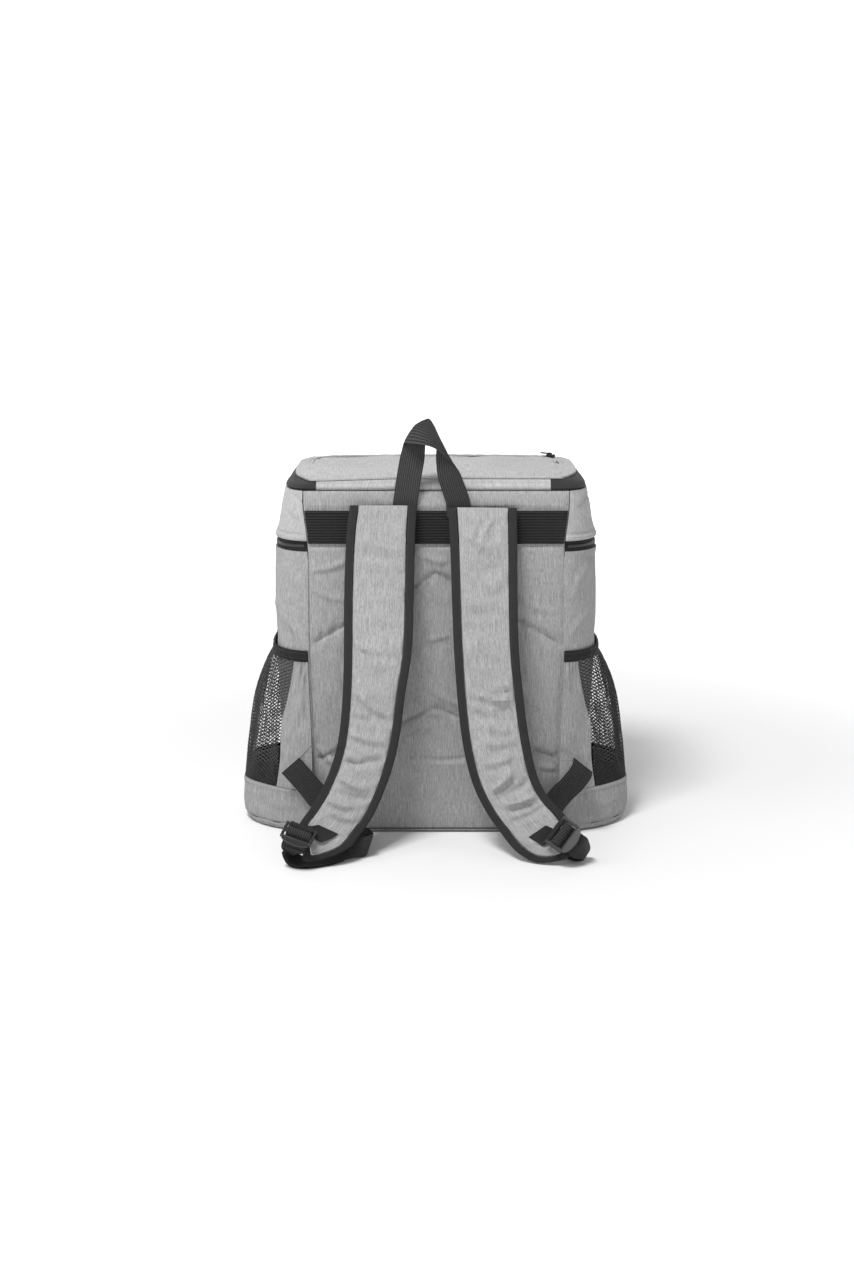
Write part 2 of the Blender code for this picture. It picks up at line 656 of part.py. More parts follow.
class Strap:
    """Strap surface: row number along, -1..1 across, with its outward side."""

    def __init__(self, rows, pad_end, floor):
        self.floor = floor
        self.keyed = [[i, r[0], BACK_Y - r[1], r[2], r[3], BACK_Y - r[4], r[5]] for i, r in enumerate(rows)]
        self.last = len(rows) - 1.0
        self.pad_end = pad_end

    def mid(self, u, t):
        e = interp(self.keyed, u, (1, 2, 3, 4, 5, 6))
        a, b = np.array(e[:3]), np.array(e[3:])
        return 0.5 * (a + b) + 0.5 * (b - a) * t

    def frame(self, u):
        u0, u1 = max(0.0, u - 0.12), min(self.last, u + 0.12)
        along = unit(self.mid(u1, 0) - self.mid(u0, 0))
        side = unit(self.mid(u, 1) - self.mid(u, -1))
        n = unit(np.cross(along, side))
        if n[1] > 0:
            n = -n
        return along, side, n

    def half_mm(self, u):
        return 0.5 * np.linalg.norm(self.mid(u, 1) - self.mid(u, -1))

    def step(self):
        """Length of the last row spacings."""
        return 0.5 * np.linalg.norm(self.mid(self.last, 0) - self.mid(self.last - 2, 0))

    def half(self, u, w=0.0):
        """Share of full width left at u, w inside the edge: rounds off at the tip."""
        v, reach = self.last - TIP_ROWS, TIP_ROWS - w / self.step()
        share = 1.0 - w / self.half_mm(u)
        if u <= v:
            return share
        t = min(1.0, (u - v) / reach)
        return share * max(0.0, 1.0 - t ** 2.3) ** 0.5

    def depth(self, u, t):
        """Thickness of the pad."""
        full = 9.0 - 3.6 * abs(t) ** 4
        flat = 3.2
        k = 1.0 / (1.0 + math.exp((u - self.pad_end) * 9.0))
        top = min(1.0, 0.62 + 0.38 * u / 0.5)
        return (flat + (full - flat) * k) * top


N_LONG, N_TIP = 22, 8      # stations along a strap's sides and round half its tip
CORE_GAP = 0.8


def edge_line(sp, w=0.0):
    """Line w inside the strap's outline: down one side, round the tip, up the other."""
    v, reach = sp.last - TIP_ROWS, TIP_ROWS - w / sp.step()
    us = [(v * i / N_LONG, -1) for i in range(N_LONG)]
    us += [(v + reach * math.sin(math.pi * i / (N_TIP * 2)) * 0.999, (i > N_TIP) - (i < N_TIP))
           for i in range(N_TIP * 2 + 1)]
    us += [(v * i / N_LONG, 1) for i in range(N_LONG - 1, -1, -1)]
    line = [(u, side * sp.half(u, w)) for u, side in us]
    pts = np.array([sp.mid(u, t) for u, t in line])
    nrm = np.array([sp.frame(u)[2] for u, t in line])
    return line, pts, nrm


def strap(name, rows, pad_end, floor, n_t=7):
    """The padded core, clear of its binding all round."""
    sp = Strap(rows, pad_end, floor)
    line, inner, nrm = edge_line(sp, BIND_W + CORE_GAP)
    front, rear = [], []
    n = len(line)
    for i in range(n // 2):
        j = n - 1 - i
        u = line[i][0]
        share = np.linalg.norm(inner[j] - inner[i]) / (2 * sp.half_mm(u))
        fr, rr = [], []
        for m in range(n_t + 1):
            f = m / n_t
            t = -1.0 + 2.0 * f
            p = inner[i] * (1 - f) + inner[j] * f
            dep = sp.depth(u, t * share)
            crown = 1.0 if u < sp.pad_end else 0.4
            fr.append(p + nrm[i] * crown * (1.0 - t * t) * 0.6)
            rr.append(p - nrm[i] * dep)
        front.append(fr)
        rear.append(rr)
    front, rear = np.array(front), np.array(rear)
    rear[:, :, 2] = np.maximum(rear[:, :, 2], floor + 0.3)
    front[:, :, 2] = np.maximum(front[:, :, 2], floor + 1.2)
    sheet_solid(name, front, rear, LIGHT)
    return sp


def binding(name, sp):
    """Tape round the strap's edge."""
    prof_f, prof_r = [], []
    for w, lift, sink in ((0.0, -1.3, 1.5), (1.6, 0.1, 0.3), (BIND_W - 1.6, 0.4, 0.0), (BIND_W, -0.4, 0.6)):
        line, pts, nrm = edge_line(sp, w)
        th = np.array([(5.0 if u < sp.pad_end else 4.2) * min(1.0, 0.7 + 0.3 * u / 0.5) for u, t in line])
        prof_f.append(pts + nrm * lift)
        prof_r.append(pts - nrm * (th[:, None] - sink))
    f, r = np.array(prof_f), np.array(prof_r)
    f[:, :, 2] = np.maximum(f[:, :, 2], sp.floor + 0.9)
    r[:, :, 2] = np.maximum(r[:, :, 2], sp.floor)
    return sheet_solid(name, f, r, BLACK)


sp_l = strap("strap_left", STRAP_L, 9.35, 4.7)
sp_r = strap("strap_right", STRAP_R, 9.25, 0.3)
binding("binding_left", sp_l)
binding("binding_right", sp_r)


# -------------------------------------------------------------- side pockets
# z, silhouette half width, depth of the corner, corner power
POCKET = [
    (1.0, 200.0, 52.0, 1.85),
    (4.0, 206.0, 55.0, 1.8),
    (9.0, 209.5, 57.0, 1.75),
    (20.0, 211.5, 58.0, 1.65),
    (38.0, 211.0, 57.5, 1.5),
    (46.0, 210.5, 57.0, 1.45),
    (63.0, 208.2, 57.0, 1.45),
    (98.0, 202.8, 56.0, 1.42),
    (121.0, 199.5, 55.0, 1.40),
    (144.0, 194.6, 53.0, 1.40),
    (165.0, 187.6, 50.0, 1.45),
    (179.0, 180.4, 47.0, 1.6),
    (189.0, 174.6, 46.0, 1.8),
    (194.0, 173.2, 46.0, 1.85),
    (201.0, 173.2, 46.0, 1.85),
]
# z, x of the seam between gusset and net (back and front alike)
NET_EDGE = [(40.0, 172.5), (77.0, 167.0), (119.0, 164.5), (144.0, 157.5), (180.0, 150.0), (201.0, 147.5)]


POLE = np.array((104.0, 0.0))


def polar(pts):
    d = np.array(pts) - POLE
    return np.arctan2(d[:, 1], d[:, 0]), np.hypot(d[:, 0], d[:, 1])


def pocket_curve(z, inset, count=60, cover=3.0):
    """Open plan outline from the back seam round the side to the front seam,
    never nearer to the bag than its own cover."""
    s, w, yb, yf = interp(BODY, z, (1, 2, 3, 4))
    s += 1.4
    xo, dep, power = interp(POCKET, z, (1, 2, 3))
    rx, ry = xo - s, dep
    cyb, cyf = yb + dep, yf - dep
    back = corner(s, cyb, 1, -1, rx, ry, power, count // 2, True)
    front_c = corner(s, cyf, 1, 1, rx, ry, power, count // 2, False)
    side = [(xo, cyb + (cyf - cyb) * f) for f in (0.25, 0.5, 0.75)]
    pts = np.array(back + side + front_c)
    ang, rad = polar(pts)
    bag = plan_half(z, 0.0)
    bag = [(s - 6.0, yb)] + bag + [(s - 6.0, yf)]
    ba, br = polar(bag)
    need = np.interp(ang, ba, br) + cover
    # the radial distance is longer than the true one where the outline slants
    rad = np.maximum(rad, need)
    rad = rad - inset
    return np.stack([POLE[0] + rad * np.cos(ang), POLE[1] + rad * np.sin(ang)], axis=1)


def resample(poly, count):
    seg = np.linalg.norm(np.diff(poly, axis=0), axis=1)
    s = np.concatenate([[0.0], np.cumsum(seg)])
    at = np.linspace(0, s[-1], count)
    return np.stack([np.interp(at, s, poly[:, 0]), np.interp(at, s, poly[:, 1])], axis=1)


def part_of_curve(poly, lo, hi, where):
    """Pieces of the outline: 'all', 'net' between the gusset seams, 'back', 'front'."""
    mid = len(poly) // 2
    x = poly[:, 0]
    ib = np.interp(lo, x[:mid], np.arange(mid))
    jf = len(poly) - 1 - np.interp(hi, x[::-1][:mid], np.arange(mid))
    idx = np.arange(len(poly))

    def at(i):
        return np.array([np.interp(i, idx, poly[:, 0]), np.interp(i, idx, poly[:, 1])])
    if where == 'all':
        return poly
    if where == 'net':
        inner = poly[(idx > ib) & (idx < jf)]
        return np.vstack([at(ib), inner, at(jf)])
    if where == 'back':
        return np.vstack([poly[idx < ib], at(ib)])
    return np.vstack([at(jf), poly[idx > jf]])


def pocket_piece(name, side, zs, inset, thick, where, count, rgb, pleat=0.0, shift=0.0):
    out, inn = [], []
    for z in zs:
        e = interp(NET_EDGE, z, (1,))[0] + shift
        o = resample(part_of_curve(pocket_curve(z, inset), e, e, where), count)
        n = resample(part_of_curve(pocket_curve(z, inset + thick), e, e, where), count)
        if pleat:
            tz = min(1.0, (193.0 - z) / 25.0) * min(1.0, max(0.0, (z - 46.0) / 40.0))
            for i in range(1, count - 1):
                f = i / (count - 1.0)
                push = pleat * tz * math.sin(f * 6.0 * 2 * math.pi + 0.02 * z)
                d = unit(o[i] - n[i])
                o[i] += d * push
                n[i] += d * push
        out.append([(side * p[0], p[1], z) for p in o])
        inn.append([(side * p[0], p[1], z) for p in n])
    return sheet_solid(name, out, inn, rgb)


def pocket_base(name, side, count=30):
    """Grey band round the pocket's foot, turned in under it as its floor."""
    out, inn = [], []
    for z in (46.4, 42.0, 30.0, 18.0, 9.0, 4.0, 1.0):
        c = resample(pocket_curve(z, 0.0, cover=5.4), count)
        ci = resample(pocket_curve(max(z, 3.6), 2.6 if z > 5 else 3.4, cover=5.4), count)
        zi = z if z > 9 else (10.5 if z == 9.0 else (6.5 if z == 4.0 else 3.6))
        out.append([(side * p[0], p[1], z) for p in c])
        inn.append([(side * p[0], p[1], zi) for p in ci])
    foot_line = resample(np.array(plan_half(8.0, -1.6)), count)
    foot = []
    for i in range(count):
        foot.append(foot_line[i])
    out.append([(side * p[0], p[1], 0.6) for p in foot])
    inn.append([(side * p[0], p[1], 3.0) for p in foot])
    return sheet_solid(name, out, inn, GREY)


def plan_half(z, inset):
    """Right half of the bag's side outline, from back seam to front seam."""
    s, w, yb, yf = interp(BODY, z, (1, 2, 3, 4))
    rx, ry = w - s, CORNER_DEPTH
    b = corner(s, yb + ry, 1, -1, rx - 0.65 * inset, ry - inset, CORNER_POWER, 12, True)
    f = corner(s, yf - ry, 1, 1, rx - 0.65 * inset, ry - inset, CORNER_POWER, 12, False)
    side = [(w - inset + 0.6, yb + ry + (yf - yb - 2 * ry) * k) for k in (0.2, 0.5, 0.8)]
    return b + side + f


for side, tag in ((-1, "left"), (1, "right")):
    pocket_base("pocket_base_" + tag, side)
    net_z = [47.0, 60.0, 77.0, 98.0, 121.0, 144.0, 160.0, 172.0, 181.0, 188.6]
    pocket_piece("pocket_net_" + tag, side, net_z, 1.0, 1.0, 'net', 33, BLACK, 0.9, 0.5)
    pocket_piece("pocket_gusset_back_" + tag, side, net_z, 0.4, 1.8, 'back', 9, GREY, 0.0, -0.3)
    pocket_piece("pocket_gusset_front_" + tag, side, net_z, 0.4, 1.8, 'front', 9, GREY, 0.0, -0.3)
    pocket_piece("pocket_elastic_" + tag, side, [189.2, 193.0, 197.0, 200.6], 0.0, 1.9, 'all', 36, BLACK)


# ----------------------------------------------------- tabs and adjusters
# triangle tabs in the side seams: seam edge and the webbing's edge
def tab(name, rows, thick=2.0):
    front, rear = [], []
    for a, b in rows:
        f = [np.array((a[0] + (b[0] - a[0]) * i / 3.0, BACK_Y - (a[1] + (b[1] - a[1]) * i / 3.0),
                       a[2] + (b[2] - a[2]) * i / 3.0)) for i in range(4)]
        front.append([p + np.array((0, -thick, 0)) for p in f])
        rear.append(f)
    return sheet_solid(name, front, rear, GREY)


# seam point, tip point (x, d of the rear face, z), top row to bottom row
tab("tab_left", [
    ((-131.0, 4.0, 101.0), (-143.5, 4.2, 87.5)),
    ((-130.8, 4.2, 76.0), (-150.5, 4.2, 81.0)),
    ((-130.6, 5.6, 52.0), (-157.5, 4.2, 75.0)),
    ((-130.4, 6.0, 28.0), (-162.5, 4.2, 70.5)),
])
tab("tab_right", [
    ((131.0, 4.0, 97.0), (142.6, 4.2, 87.6)),
    ((130.8, 4.2, 76.0), (150.0, 4.2, 82.0)),
    ((130.6, 5.6, 50.0), (157.5, 4.2, 76.5)),
    ((130.4, 6.0, 24.0), (163.5, 4.2, 72.0)),
])


# ------------------------------------------ buckles, patches and adjusters
def vec(x, d, z):
    """A direction given in x, d, z."""
    return np.array((x, -d, z), float)


def point(x, d, z):
    return np.array((x, BACK_Y - d, z), float)


# middle bar x, d, z; direction along the bars; direction toward the lip
BUCKLES = {
    "left": ((-138.4, 106.5, 36.5), (0.94, 0.158, -0.30), (-0.22, 0.88, -0.42)),
    "right": ((128.0, 98.6, 33.0), (-0.60, 0.27, -0.75), (0.75, 0.51, -0.42)),
}
BAR = 2.4            # thickness of the bars
REAR_AT, MID_AT, FRONT_AT = -10.6, -1.6, 7.4    # middles of the three bars
MID_W = 5.0          # width of the middle bar
RAIL = 15.0          # middle of the side rails from the centre
LOOP_R = 2.6         # radius of the webbing's middle round the rear bar
WEB_T = 1.5
WEB_HALF = 12.2
LIP = 8.6            # reach of the rounded thumb lip past its bar


def buckle_frame(tag):
    at, a, b = BUCKLES[tag]
    a, b, n = frame_from(vec(*a), vec(*b))
    return point(*at), a, b, n


def thumb_lip(c, a, b, n):
    """Rounded plate beyond the front bar, as a closed block of corners."""
    verts, faces = [], []
    m = 8
    for i in range(m + 1):
        t = math.pi * i / m
        w, l = RAIL * math.cos(t), LIP * math.sin(t) ** 0.8
        for r, k in ((0.0, -1.0), (0.0, 1.0), (1.0, -1.0), (1.0, 1.0)):
            p = c + a * w + b * (FRONT_AT + (l if r else -0.6)) + n * (k * 0.9 + (0.16 * l if r else 0.0))
            verts.append(p)
    for i in range(m):
        o, q = 4 * i, 4 * (i + 1)
        faces += [(o + 1, q + 1, q + 3, o + 3), (o, o + 2, q + 2, q), (o + 2, o + 3, q + 3, q + 2), (o, q, q + 1, o + 1)]
    faces += [(0, 1, 3, 2), (4 * m, 4 * m + 2, 4 * m + 3, 4 * m + 1)]
    return verts, faces


for tag in ("left", "right"):
    c, a, b, n = buckle_frame(tag)
    boxes = []
    for side in (-1, 1):
        boxes.append((c + a * side * RAIL + b * 0.5 * (REAR_AT + FRONT_AT), (a, b, n), (3.0, FRONT_AT - REAR_AT + BAR + 0.8, 3.2)))
    for at, wide in ((REAR_AT, BAR), (MID_AT, MID_W), (FRONT_AT, BAR)):
        boxes.append((c + b * at, (a, b, n), (2 * RAIL, wide, BAR)))
    order = [boxes[0], boxes[2], boxes[3], boxes[4], boxes[1]]
    join_boxes("buckle_" + tag, order, BLACK, 0.4, extra=thumb_lip(c, a, b, n))


def row_of(mid, half_dir):
    """Ribbon row from its middle and half width vector, in x, d, z."""
    e, f = mid + half_dir, mid - half_dir
    return (e[0], BACK_Y - e[1], e[2], f[0], BACK_Y - f[1], f[2])


def local_rows(tag, table, sign):
    """Rows from places b, n in the buckle's own frame."""
    c, a, b, n = buckle_frame(tag)
    return [row_of(c + b * p + n * q, a * WEB_HALF * sign) for p, q in table]


def arc_rows(tag, at, start, stop, radius, sign, count=6):
    """Rows round a bar at b = at, from angle start to stop (0 = underneath)."""
    out = []
    for i in range(count):
        t = math.radians(start + (stop - start) * i / (count - 1.0))
        out.append((at + radius * math.sin(t), -radius * math.cos(t)))
    return local_rows(tag, out, sign)


# patch: from under the pad's end over the flat tip, then round the rear bar
# outer edge's strap row and place across, inner edge's, height over the strap
PATCH = {
    "left": (sp_l, [(8.92, -0.42, 9.32, 0.35, 1.7), (9.12, -0.60, 10.00, 0.15, 2.0), (9.24, -0.78, 10.36, -0.14, 3.2)]),
    "right": (sp_r, [(8.48, -0.38, 8.74, 0.38, 1.7), (8.80, -0.42, 9.20, 0.28, 1.9), (9.02, -0.48, 9.70, 0.20, 2.5)]),
}
for tag in ("left", "right"):
    sp, places = PATCH[tag]
    rows = []
    for ua, ta, ub, tb, up in places:
        e = sp.mid(ua, ta) + sp.frame(ua)[2] * up
        f = sp.mid(ub, tb) + sp.frame(ub)[2] * up
        rows.append((e[0], BACK_Y - e[1], e[2], f[0], BACK_Y - f[1], f[2]))
    rows += arc_rows(tag, REAR_AT, -20, 215, LOOP_R, -1)
    ribbon("strap_patch_" + tag, rows, WEB_T, BLACK, 2, 3)

# adjusting webbing, from the tab: edge x, d, z then the other edge x, d, z
ADJ = {
    "left": [
        (-163.2, 7.4, 69.4, -144.2, 7.4, 86.6),
        (-150.0, 8.6, 54.5, -131.0, 8.6, 71.5),
        (-137.0, 10.5, 39.5, -118.0, 10.0, 56.0),
        (-124.0, 14.0, 25.0, -105.5, 14.0, 41.0),
        (-110.0, 24.0, 10.0, -93.0, 20.0, 29.0),
        (-96.0, 40.0, 1.6, -80.0, 36.0, 22.0),
        (-82.0, 58.0, 1.4, -69.0, 57.0, 25.0),
        (-73.5, 67.0, 1.4, -65.5, 67.5, 25.5),
        (-72.0, 72.5, 1.4, -64.5, 74.0, 25.5),
        (-76.5, 77.0, 1.6, -70.0, 78.5, 24.5),
        (-84.0, 82.0, 2.6, -80.0, 78.5, 21.0),
        (-94.0, 89.5, 3.3, -91.0, 76.0, 13.5),
        (-107.0, 98.5, 3.3, -103.0, 76.0, 8.0),
        (-120.0, 105.0, 3.3, -114.0, 81.5, 5.0),
        (-134.0, 107.5, 3.3, -123.0, 85.5, 4.5),
        (-144.5, 105.0, 3.4, -131.0, 84.5, 4.5),
        (-150.5, 102.5, 7.0, -137.0, 82.5, 5.5),
        (-153.0, 102.5, 13.5, -140.5, 83.5, 8.0),
        (-154.0, 104.5, 20.0, -142.5, 87.5, 10.5),
        (-154.5, 107.0, 26.0, -143.5, 96.5, 13.0),
    ],
    "right": [
        (165.5, 7.4, 70.6, 145.6, 7.4, 86.8),
        (163.5, 9.4, 63.5, 143.0, 9.0, 77.0),
        (154.0, 11.0, 51.0, 131.0, 10.6, 62.0),
        (143.0, 12.0, 40.0, 122.5, 12.0, 54.0),
        (133.0, 17.0, 27.0, 115.0, 17.0, 44.0),
        (133.5, 28.0, 12.5, 114.0, 29.0, 28.0),
        (139.5, 40.0, 4.2, 119.0, 44.0, 16.0),
        (144.0, 54.0, 3.4, 124.0, 60.0, 8.0),
        (147.0, 64.0, 3.4, 130.0, 74.0, 4.4),
        (151.0, 71.0, 3.8, 137.5, 84.0, 3.6),
        (154.0, 76.0, 7.5, 143.5, 91.0, 4.6),
        (155.2, 80.0, 15.0, 146.5, 97.0, 7.5),
    ],
}
# where the load layer joins the buckle, round the middle bar, and where the
# tail leaves it: b, n
TO_BUCKLE = {
    "left": [(12.0, -9.5), (7.5, -7.2), (2.5, -6.2), (-2.5, -5.6), (-5.4, -3.4)],
    "right": [(17.5, -12.5), (13.5, -7.6), (9.0, -6.4), (4.5, -5.8), (0.0, -5.3), (-3.4, -4.6), (-5.6, -2.9)],
}
WRAP = [(-6.1, -0.6), (-5.7, 1.2), (-4.3, 2.8), (-2.5, 3.5), (-0.7, 3.5), (1.1, 2.8), (2.5, 1.2), (2.9, -0.6)]
FROM_BUCKLE = {
    "left": [(3.5, -2.6), (6.5, -3.8), (11.0, -4.8)],
    "right": [(3.5, -2.6), (6.5, -3.6), (10.5, -4.2), (15.0, -5.6), (19.0, -10.0)],
}
SIGN = {"left": -1, "right": -1}
# last row of the table over which the free tail lies outside the webbing
TAIL_TO = {"left": 10.8, "right": 8.6}
TAIL_GAP = 2.2


def adjuster(tag):
    c, a, b, n = buckle_frame(tag)
    rows = list(ADJ[tag])
    n_turn = len(rows)
    sg = SIGN[tag]
    rows += local_rows(tag, TO_BUCKLE[tag], sg)
    rows += local_rows(tag, WRAP, sg)
    rows += local_rows(tag, FROM_BUCKLE[tag], sg)
    keyed = [[i] + list(r) for i, r in enumerate(ADJ[tag])]
    inside = c - n * 12.0 - b * 14.0
    u = n_turn - 1.0
    while u >= TAIL_TO[tag] - 1e-6:
        e = interp(keyed, u, (1, 2, 3, 4, 5, 6))
        e2 = interp(keyed, u - 0.05, (1, 2, 3, 4, 5, 6))
        pf, pk = point(*e[:3]), point(*e[3:])
        along = 0.5 * (pf + pk) - 0.5 * (point(*e2[:3]) + point(*e2[3:]))
        m = unit(np.cross(along, pf - pk))
        if np.dot(m, inside - 0.5 * (pf + pk)) > 0:
            m = -m
        f2, k2 = pf + m * TAIL_GAP, pk + m * TAIL_GAP
        rows.append((f2[0], BACK_Y - f2[1], max(f2[2], 1.1), k2[0], BACK_Y - k2[1], max(k2[2], 1.1)))
        u -= 0.8
    return ribbon("adjuster_" + tag, rows, WEB_T, BLACK, 2, 2)


adjuster("left")
adjuster("right")
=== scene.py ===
"""Looks of the cooler backpack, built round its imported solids.

Tables are in millimetres unless they say otherwise; x runs to the right as
one looks at the back panel, y away from the wearer, z up from the floor. "d"
is a distance in front of the back panel's plane, so y = -95 - d. Folds are
placed where they are seen: their tables hold points of the 854 x 1280 frame.
"""
import math
import bpy
import bmesh
import numpy as np
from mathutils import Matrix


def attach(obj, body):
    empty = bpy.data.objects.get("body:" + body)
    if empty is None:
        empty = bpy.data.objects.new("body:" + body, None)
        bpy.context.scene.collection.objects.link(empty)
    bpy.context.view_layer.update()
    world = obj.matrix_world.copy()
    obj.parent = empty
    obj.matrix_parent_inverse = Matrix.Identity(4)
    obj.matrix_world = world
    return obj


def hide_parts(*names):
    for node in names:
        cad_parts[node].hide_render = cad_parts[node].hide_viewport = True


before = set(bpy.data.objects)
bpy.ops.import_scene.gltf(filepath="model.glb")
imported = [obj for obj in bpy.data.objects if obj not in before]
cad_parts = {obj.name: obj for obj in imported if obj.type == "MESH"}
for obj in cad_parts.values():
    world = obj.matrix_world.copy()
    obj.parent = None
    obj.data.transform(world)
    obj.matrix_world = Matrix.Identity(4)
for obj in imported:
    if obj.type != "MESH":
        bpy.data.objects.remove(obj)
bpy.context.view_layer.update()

MM = 0.001
BACK_Y = -95.0
FRONT_Y = 95.0
GAP = 0.5

# ------------------------------------------------------------------- camera
CAM_AT = np.array((-9.4, -1695.0, 580.0))
CAM_PITCH = math.radians(12.95)
LENS = 44.33
cam_data = bpy.data.cameras.new("photo_camera")
cam_data.lens = LENS
cam_data.sensor_width = 36.0
cam_data.sensor_fit = 'AUTO'
cam_data.clip_start = 0.05
cam = bpy.data.objects.new("photo_camera", cam_data)
cam.location = tuple(CAM_AT * MM)
cam.rotation_euler = (math.pi / 2 - CAM_PITCH, 0.0, 0.0)
bpy.context.scene.collection.objects.link(cam)
bpy.context.scene.camera = cam


def photo_px(p):
    """Place in the 854 x 1280 frame of points in millimetres."""
    q = np.asarray(p, float) - CAM_AT
    deep = q[..., 1] * math.cos(CAM_PITCH) - q[..., 2] * math.sin(CAM_PITCH)
    up = q[..., 1] * math.sin(CAM_PITCH) + q[..., 2] * math.cos(CAM_PITCH)
    f = LENS / 36.0 * 1280.0
    return np.stack([427.0 + f * q[..., 0] / deep, 640.0 - f * up / deep], axis=-1)


bpy.context.scene.view_settings.view_transform = 'Standard'

# -------------------------------------------------------------------- noise
rng = np.random.default_rng(11)
PERM = np.tile(rng.permutation(256), 3)
GRAD = rng.normal(size=(256, 3))
GRAD /= np.linalg.norm(GRAD, axis=1, keepdims=True)


def noise3(p, seed=0.0):
    """Smooth gradient noise, about -1..1, of an array of points."""
    p = np.asarray(p, float) + seed * 17.37
    i = np.floor(p).astype(int)
    f = p - i
    i &= 255
    u = f * f * f * (f * (f * 6 - 15) + 10)
    out = np.zeros(p.shape[:-1])
    for dx in (0, 1):
        for dy in (0, 1):
            for dz in (0, 1):
                h = PERM[PERM[PERM[i[..., 0] + dx] + i[..., 1] + dy] + i[..., 2] + dz]
                w = (u[..., 0] if dx else 1 - u[..., 0]) * (u[..., 1] if dy else 1 - u[..., 1]) \
                    * (u[..., 2] if dz else 1 - u[..., 2])
                out += w * (GRAD[h] * (f - np.array((dx, dy, dz)))).sum(-1)
    return out * 1.7


def crumple(p, size, seed=0.0, stretch=(1, 1, 1)):
    """Soft creased cloth: rounded hollows between sharper ridges, -1..1."""
    q = np.asarray(p, float) / (size * np.array(stretch, float))
    q = q + 0.35 * np.stack([noise3(q * 0.7, seed + 3), noise3(q * 0.7, seed + 5), noise3(q * 0.7, seed + 7)], axis=-1)
    a = 1.0 - 2.2 * np.abs(noise3(q, seed))
    b = 1.0 - 2.2 * np.abs(noise3(q * 2.1, seed + 9))
    return 0.7 * a + 0.3 * b - 0.35


def fold_lines(px, rows):
    """Height in mm of folds given by rows of the frame's points:
    x0, y0, x1, y1, half width in px, height in mm (below 0 is a crease)."""
    out = np.zeros(px.shape[:-1])
    for x0, y0, x1, y1, half, high in rows:
        a, b = np.array((x0, y0), float), np.array((x1, y1), float)
        ab = b - a
        ln = np.linalg.norm(ab)
        t = ((px - a) @ ab) / ln ** 2
        bow = 0.06 * ln * np.sin(np.clip(t, 0, 1) * math.pi)
        d = (px[..., 0] - a[0]) * (-ab[1] / ln) + (px[..., 1] - a[1]) * (ab[0] / ln) - bow
        end = np.clip(np.minimum(t, 1 - t) * ln / (2.2 * half) + 0.35, 0, 1)
        end = end * end * (3 - 2 * end)
        w = half * (0.75 + 0.35 * np.clip(t, 0, 1))
        out += high * end * (np.exp(-(d / w) ** 2) - 0.35 * np.exp(-((d - 2.1 * w) / (1.3 * w)) ** 2))
    return out


# ---------------------------------------------------------------- materials
class Mat:
    """A node material with short-hand for its nodes."""

    def __init__(self, name, rough=0.85, metal=0.0, sheen=0.0, spec=None):
        self.m = bpy.data.materials.new(name)
        self.m.use_nodes = True
        self.nt = self.m.node_tree
        self.b = self.nt.nodes["Principled BSDF"]
        self.b.inputs["Roughness"].default_value = rough
        self.b.inputs["Metallic"].default_value = metal
        self.b.inputs["Sheen Weight"].default_value = sheen
        self.b.inputs["Sheen Roughness"].default_value = 0.6
        if spec is not None:
            self.b.inputs["Specular IOR Level"].default_value = spec

    def put(self, kind, **values):
        n = self.nt.nodes.new(kind)
        for k, v in values.items():
            if hasattr(n, k):
                setattr(n, k, v)
            else:
                n.inputs[k].default_value = v
        return n

    def to(self, a, b):
        self.nt.links.new(a, b)

    def math(self, op, a, b=None, c=None):
        n = self.put("ShaderNodeMath", operation=op)
        for i, v in enumerate((a, b, c)):
            if v is None:
                continue
            if isinstance(v, (int, float)):
                n.inputs[i].default_value = v
            else:
                self.to(v, n.inputs[i])
        return n.outputs[0]

    def uv(self):
        n = self.put("ShaderNodeUVMap")
        n.uv_map = "cloth"
        s = self.put("ShaderNodeSeparateXYZ")
        self.to(n.outputs[0], s.inputs[0])
        return n.outputs[0], s.outputs[0], s.outputs[1]

    def scaled(self, vec, sx, sy, sz=1.0):
        n = self.put("ShaderNodeMapping")
        n.inputs["Scale"].default_value = (sx, sy, sz)
        self.to(vec, n.inputs[0])
        return n.outputs[0]

    def noise(self, vec, scale=1.0, detail=2.0, rough=0.5):
        n = self.put("ShaderNodeTexNoise", Scale=scale, Detail=detail, Roughness=rough)
        self.to(vec, n.inputs["Vector"])
        return n.outputs[0]

    def ramp(self, fac, lo, hi, at=(0.3, 0.7)):
        n = self.put("ShaderNodeValToRGB")
        e = n.color_ramp.elements
        e[0].position, e[1].position = at
        e[0].color = tuple(lo) + (1.0,)
        e[1].color = tuple(hi) + (1.0,)
        self.to(fac, n.inputs[0])
        return n.outputs[0]

    def mix(self, kind, fac, a, b):
        n = self.put("ShaderNodeMix", data_type='RGBA')
        n.blend_type = kind
        if isinstance(fac, (int, float)):
            n.inputs[0].default_value = fac
        else:
            self.to(fac, n.inputs[0])
        self.to(a, n.inputs[6])
        self.to(b, n.inputs[7])
        return n.outputs[2]

    def bump(self, height, deep, strength=1.0):
        n = self.put("ShaderNodeBump")
        n.inputs["Strength"].default_value = strength
        n.inputs["Distance"].default_value = deep
        self.to(height, n.inputs["Height"])
        self.to(n.outputs[0], self.b.inputs["Normal"])

    def colour(self, out):
        self.to(out, self.b.inputs["Base Color"])


def tint(rgb, k):
    return tuple(min(1.0, c * k) for c in rgb)


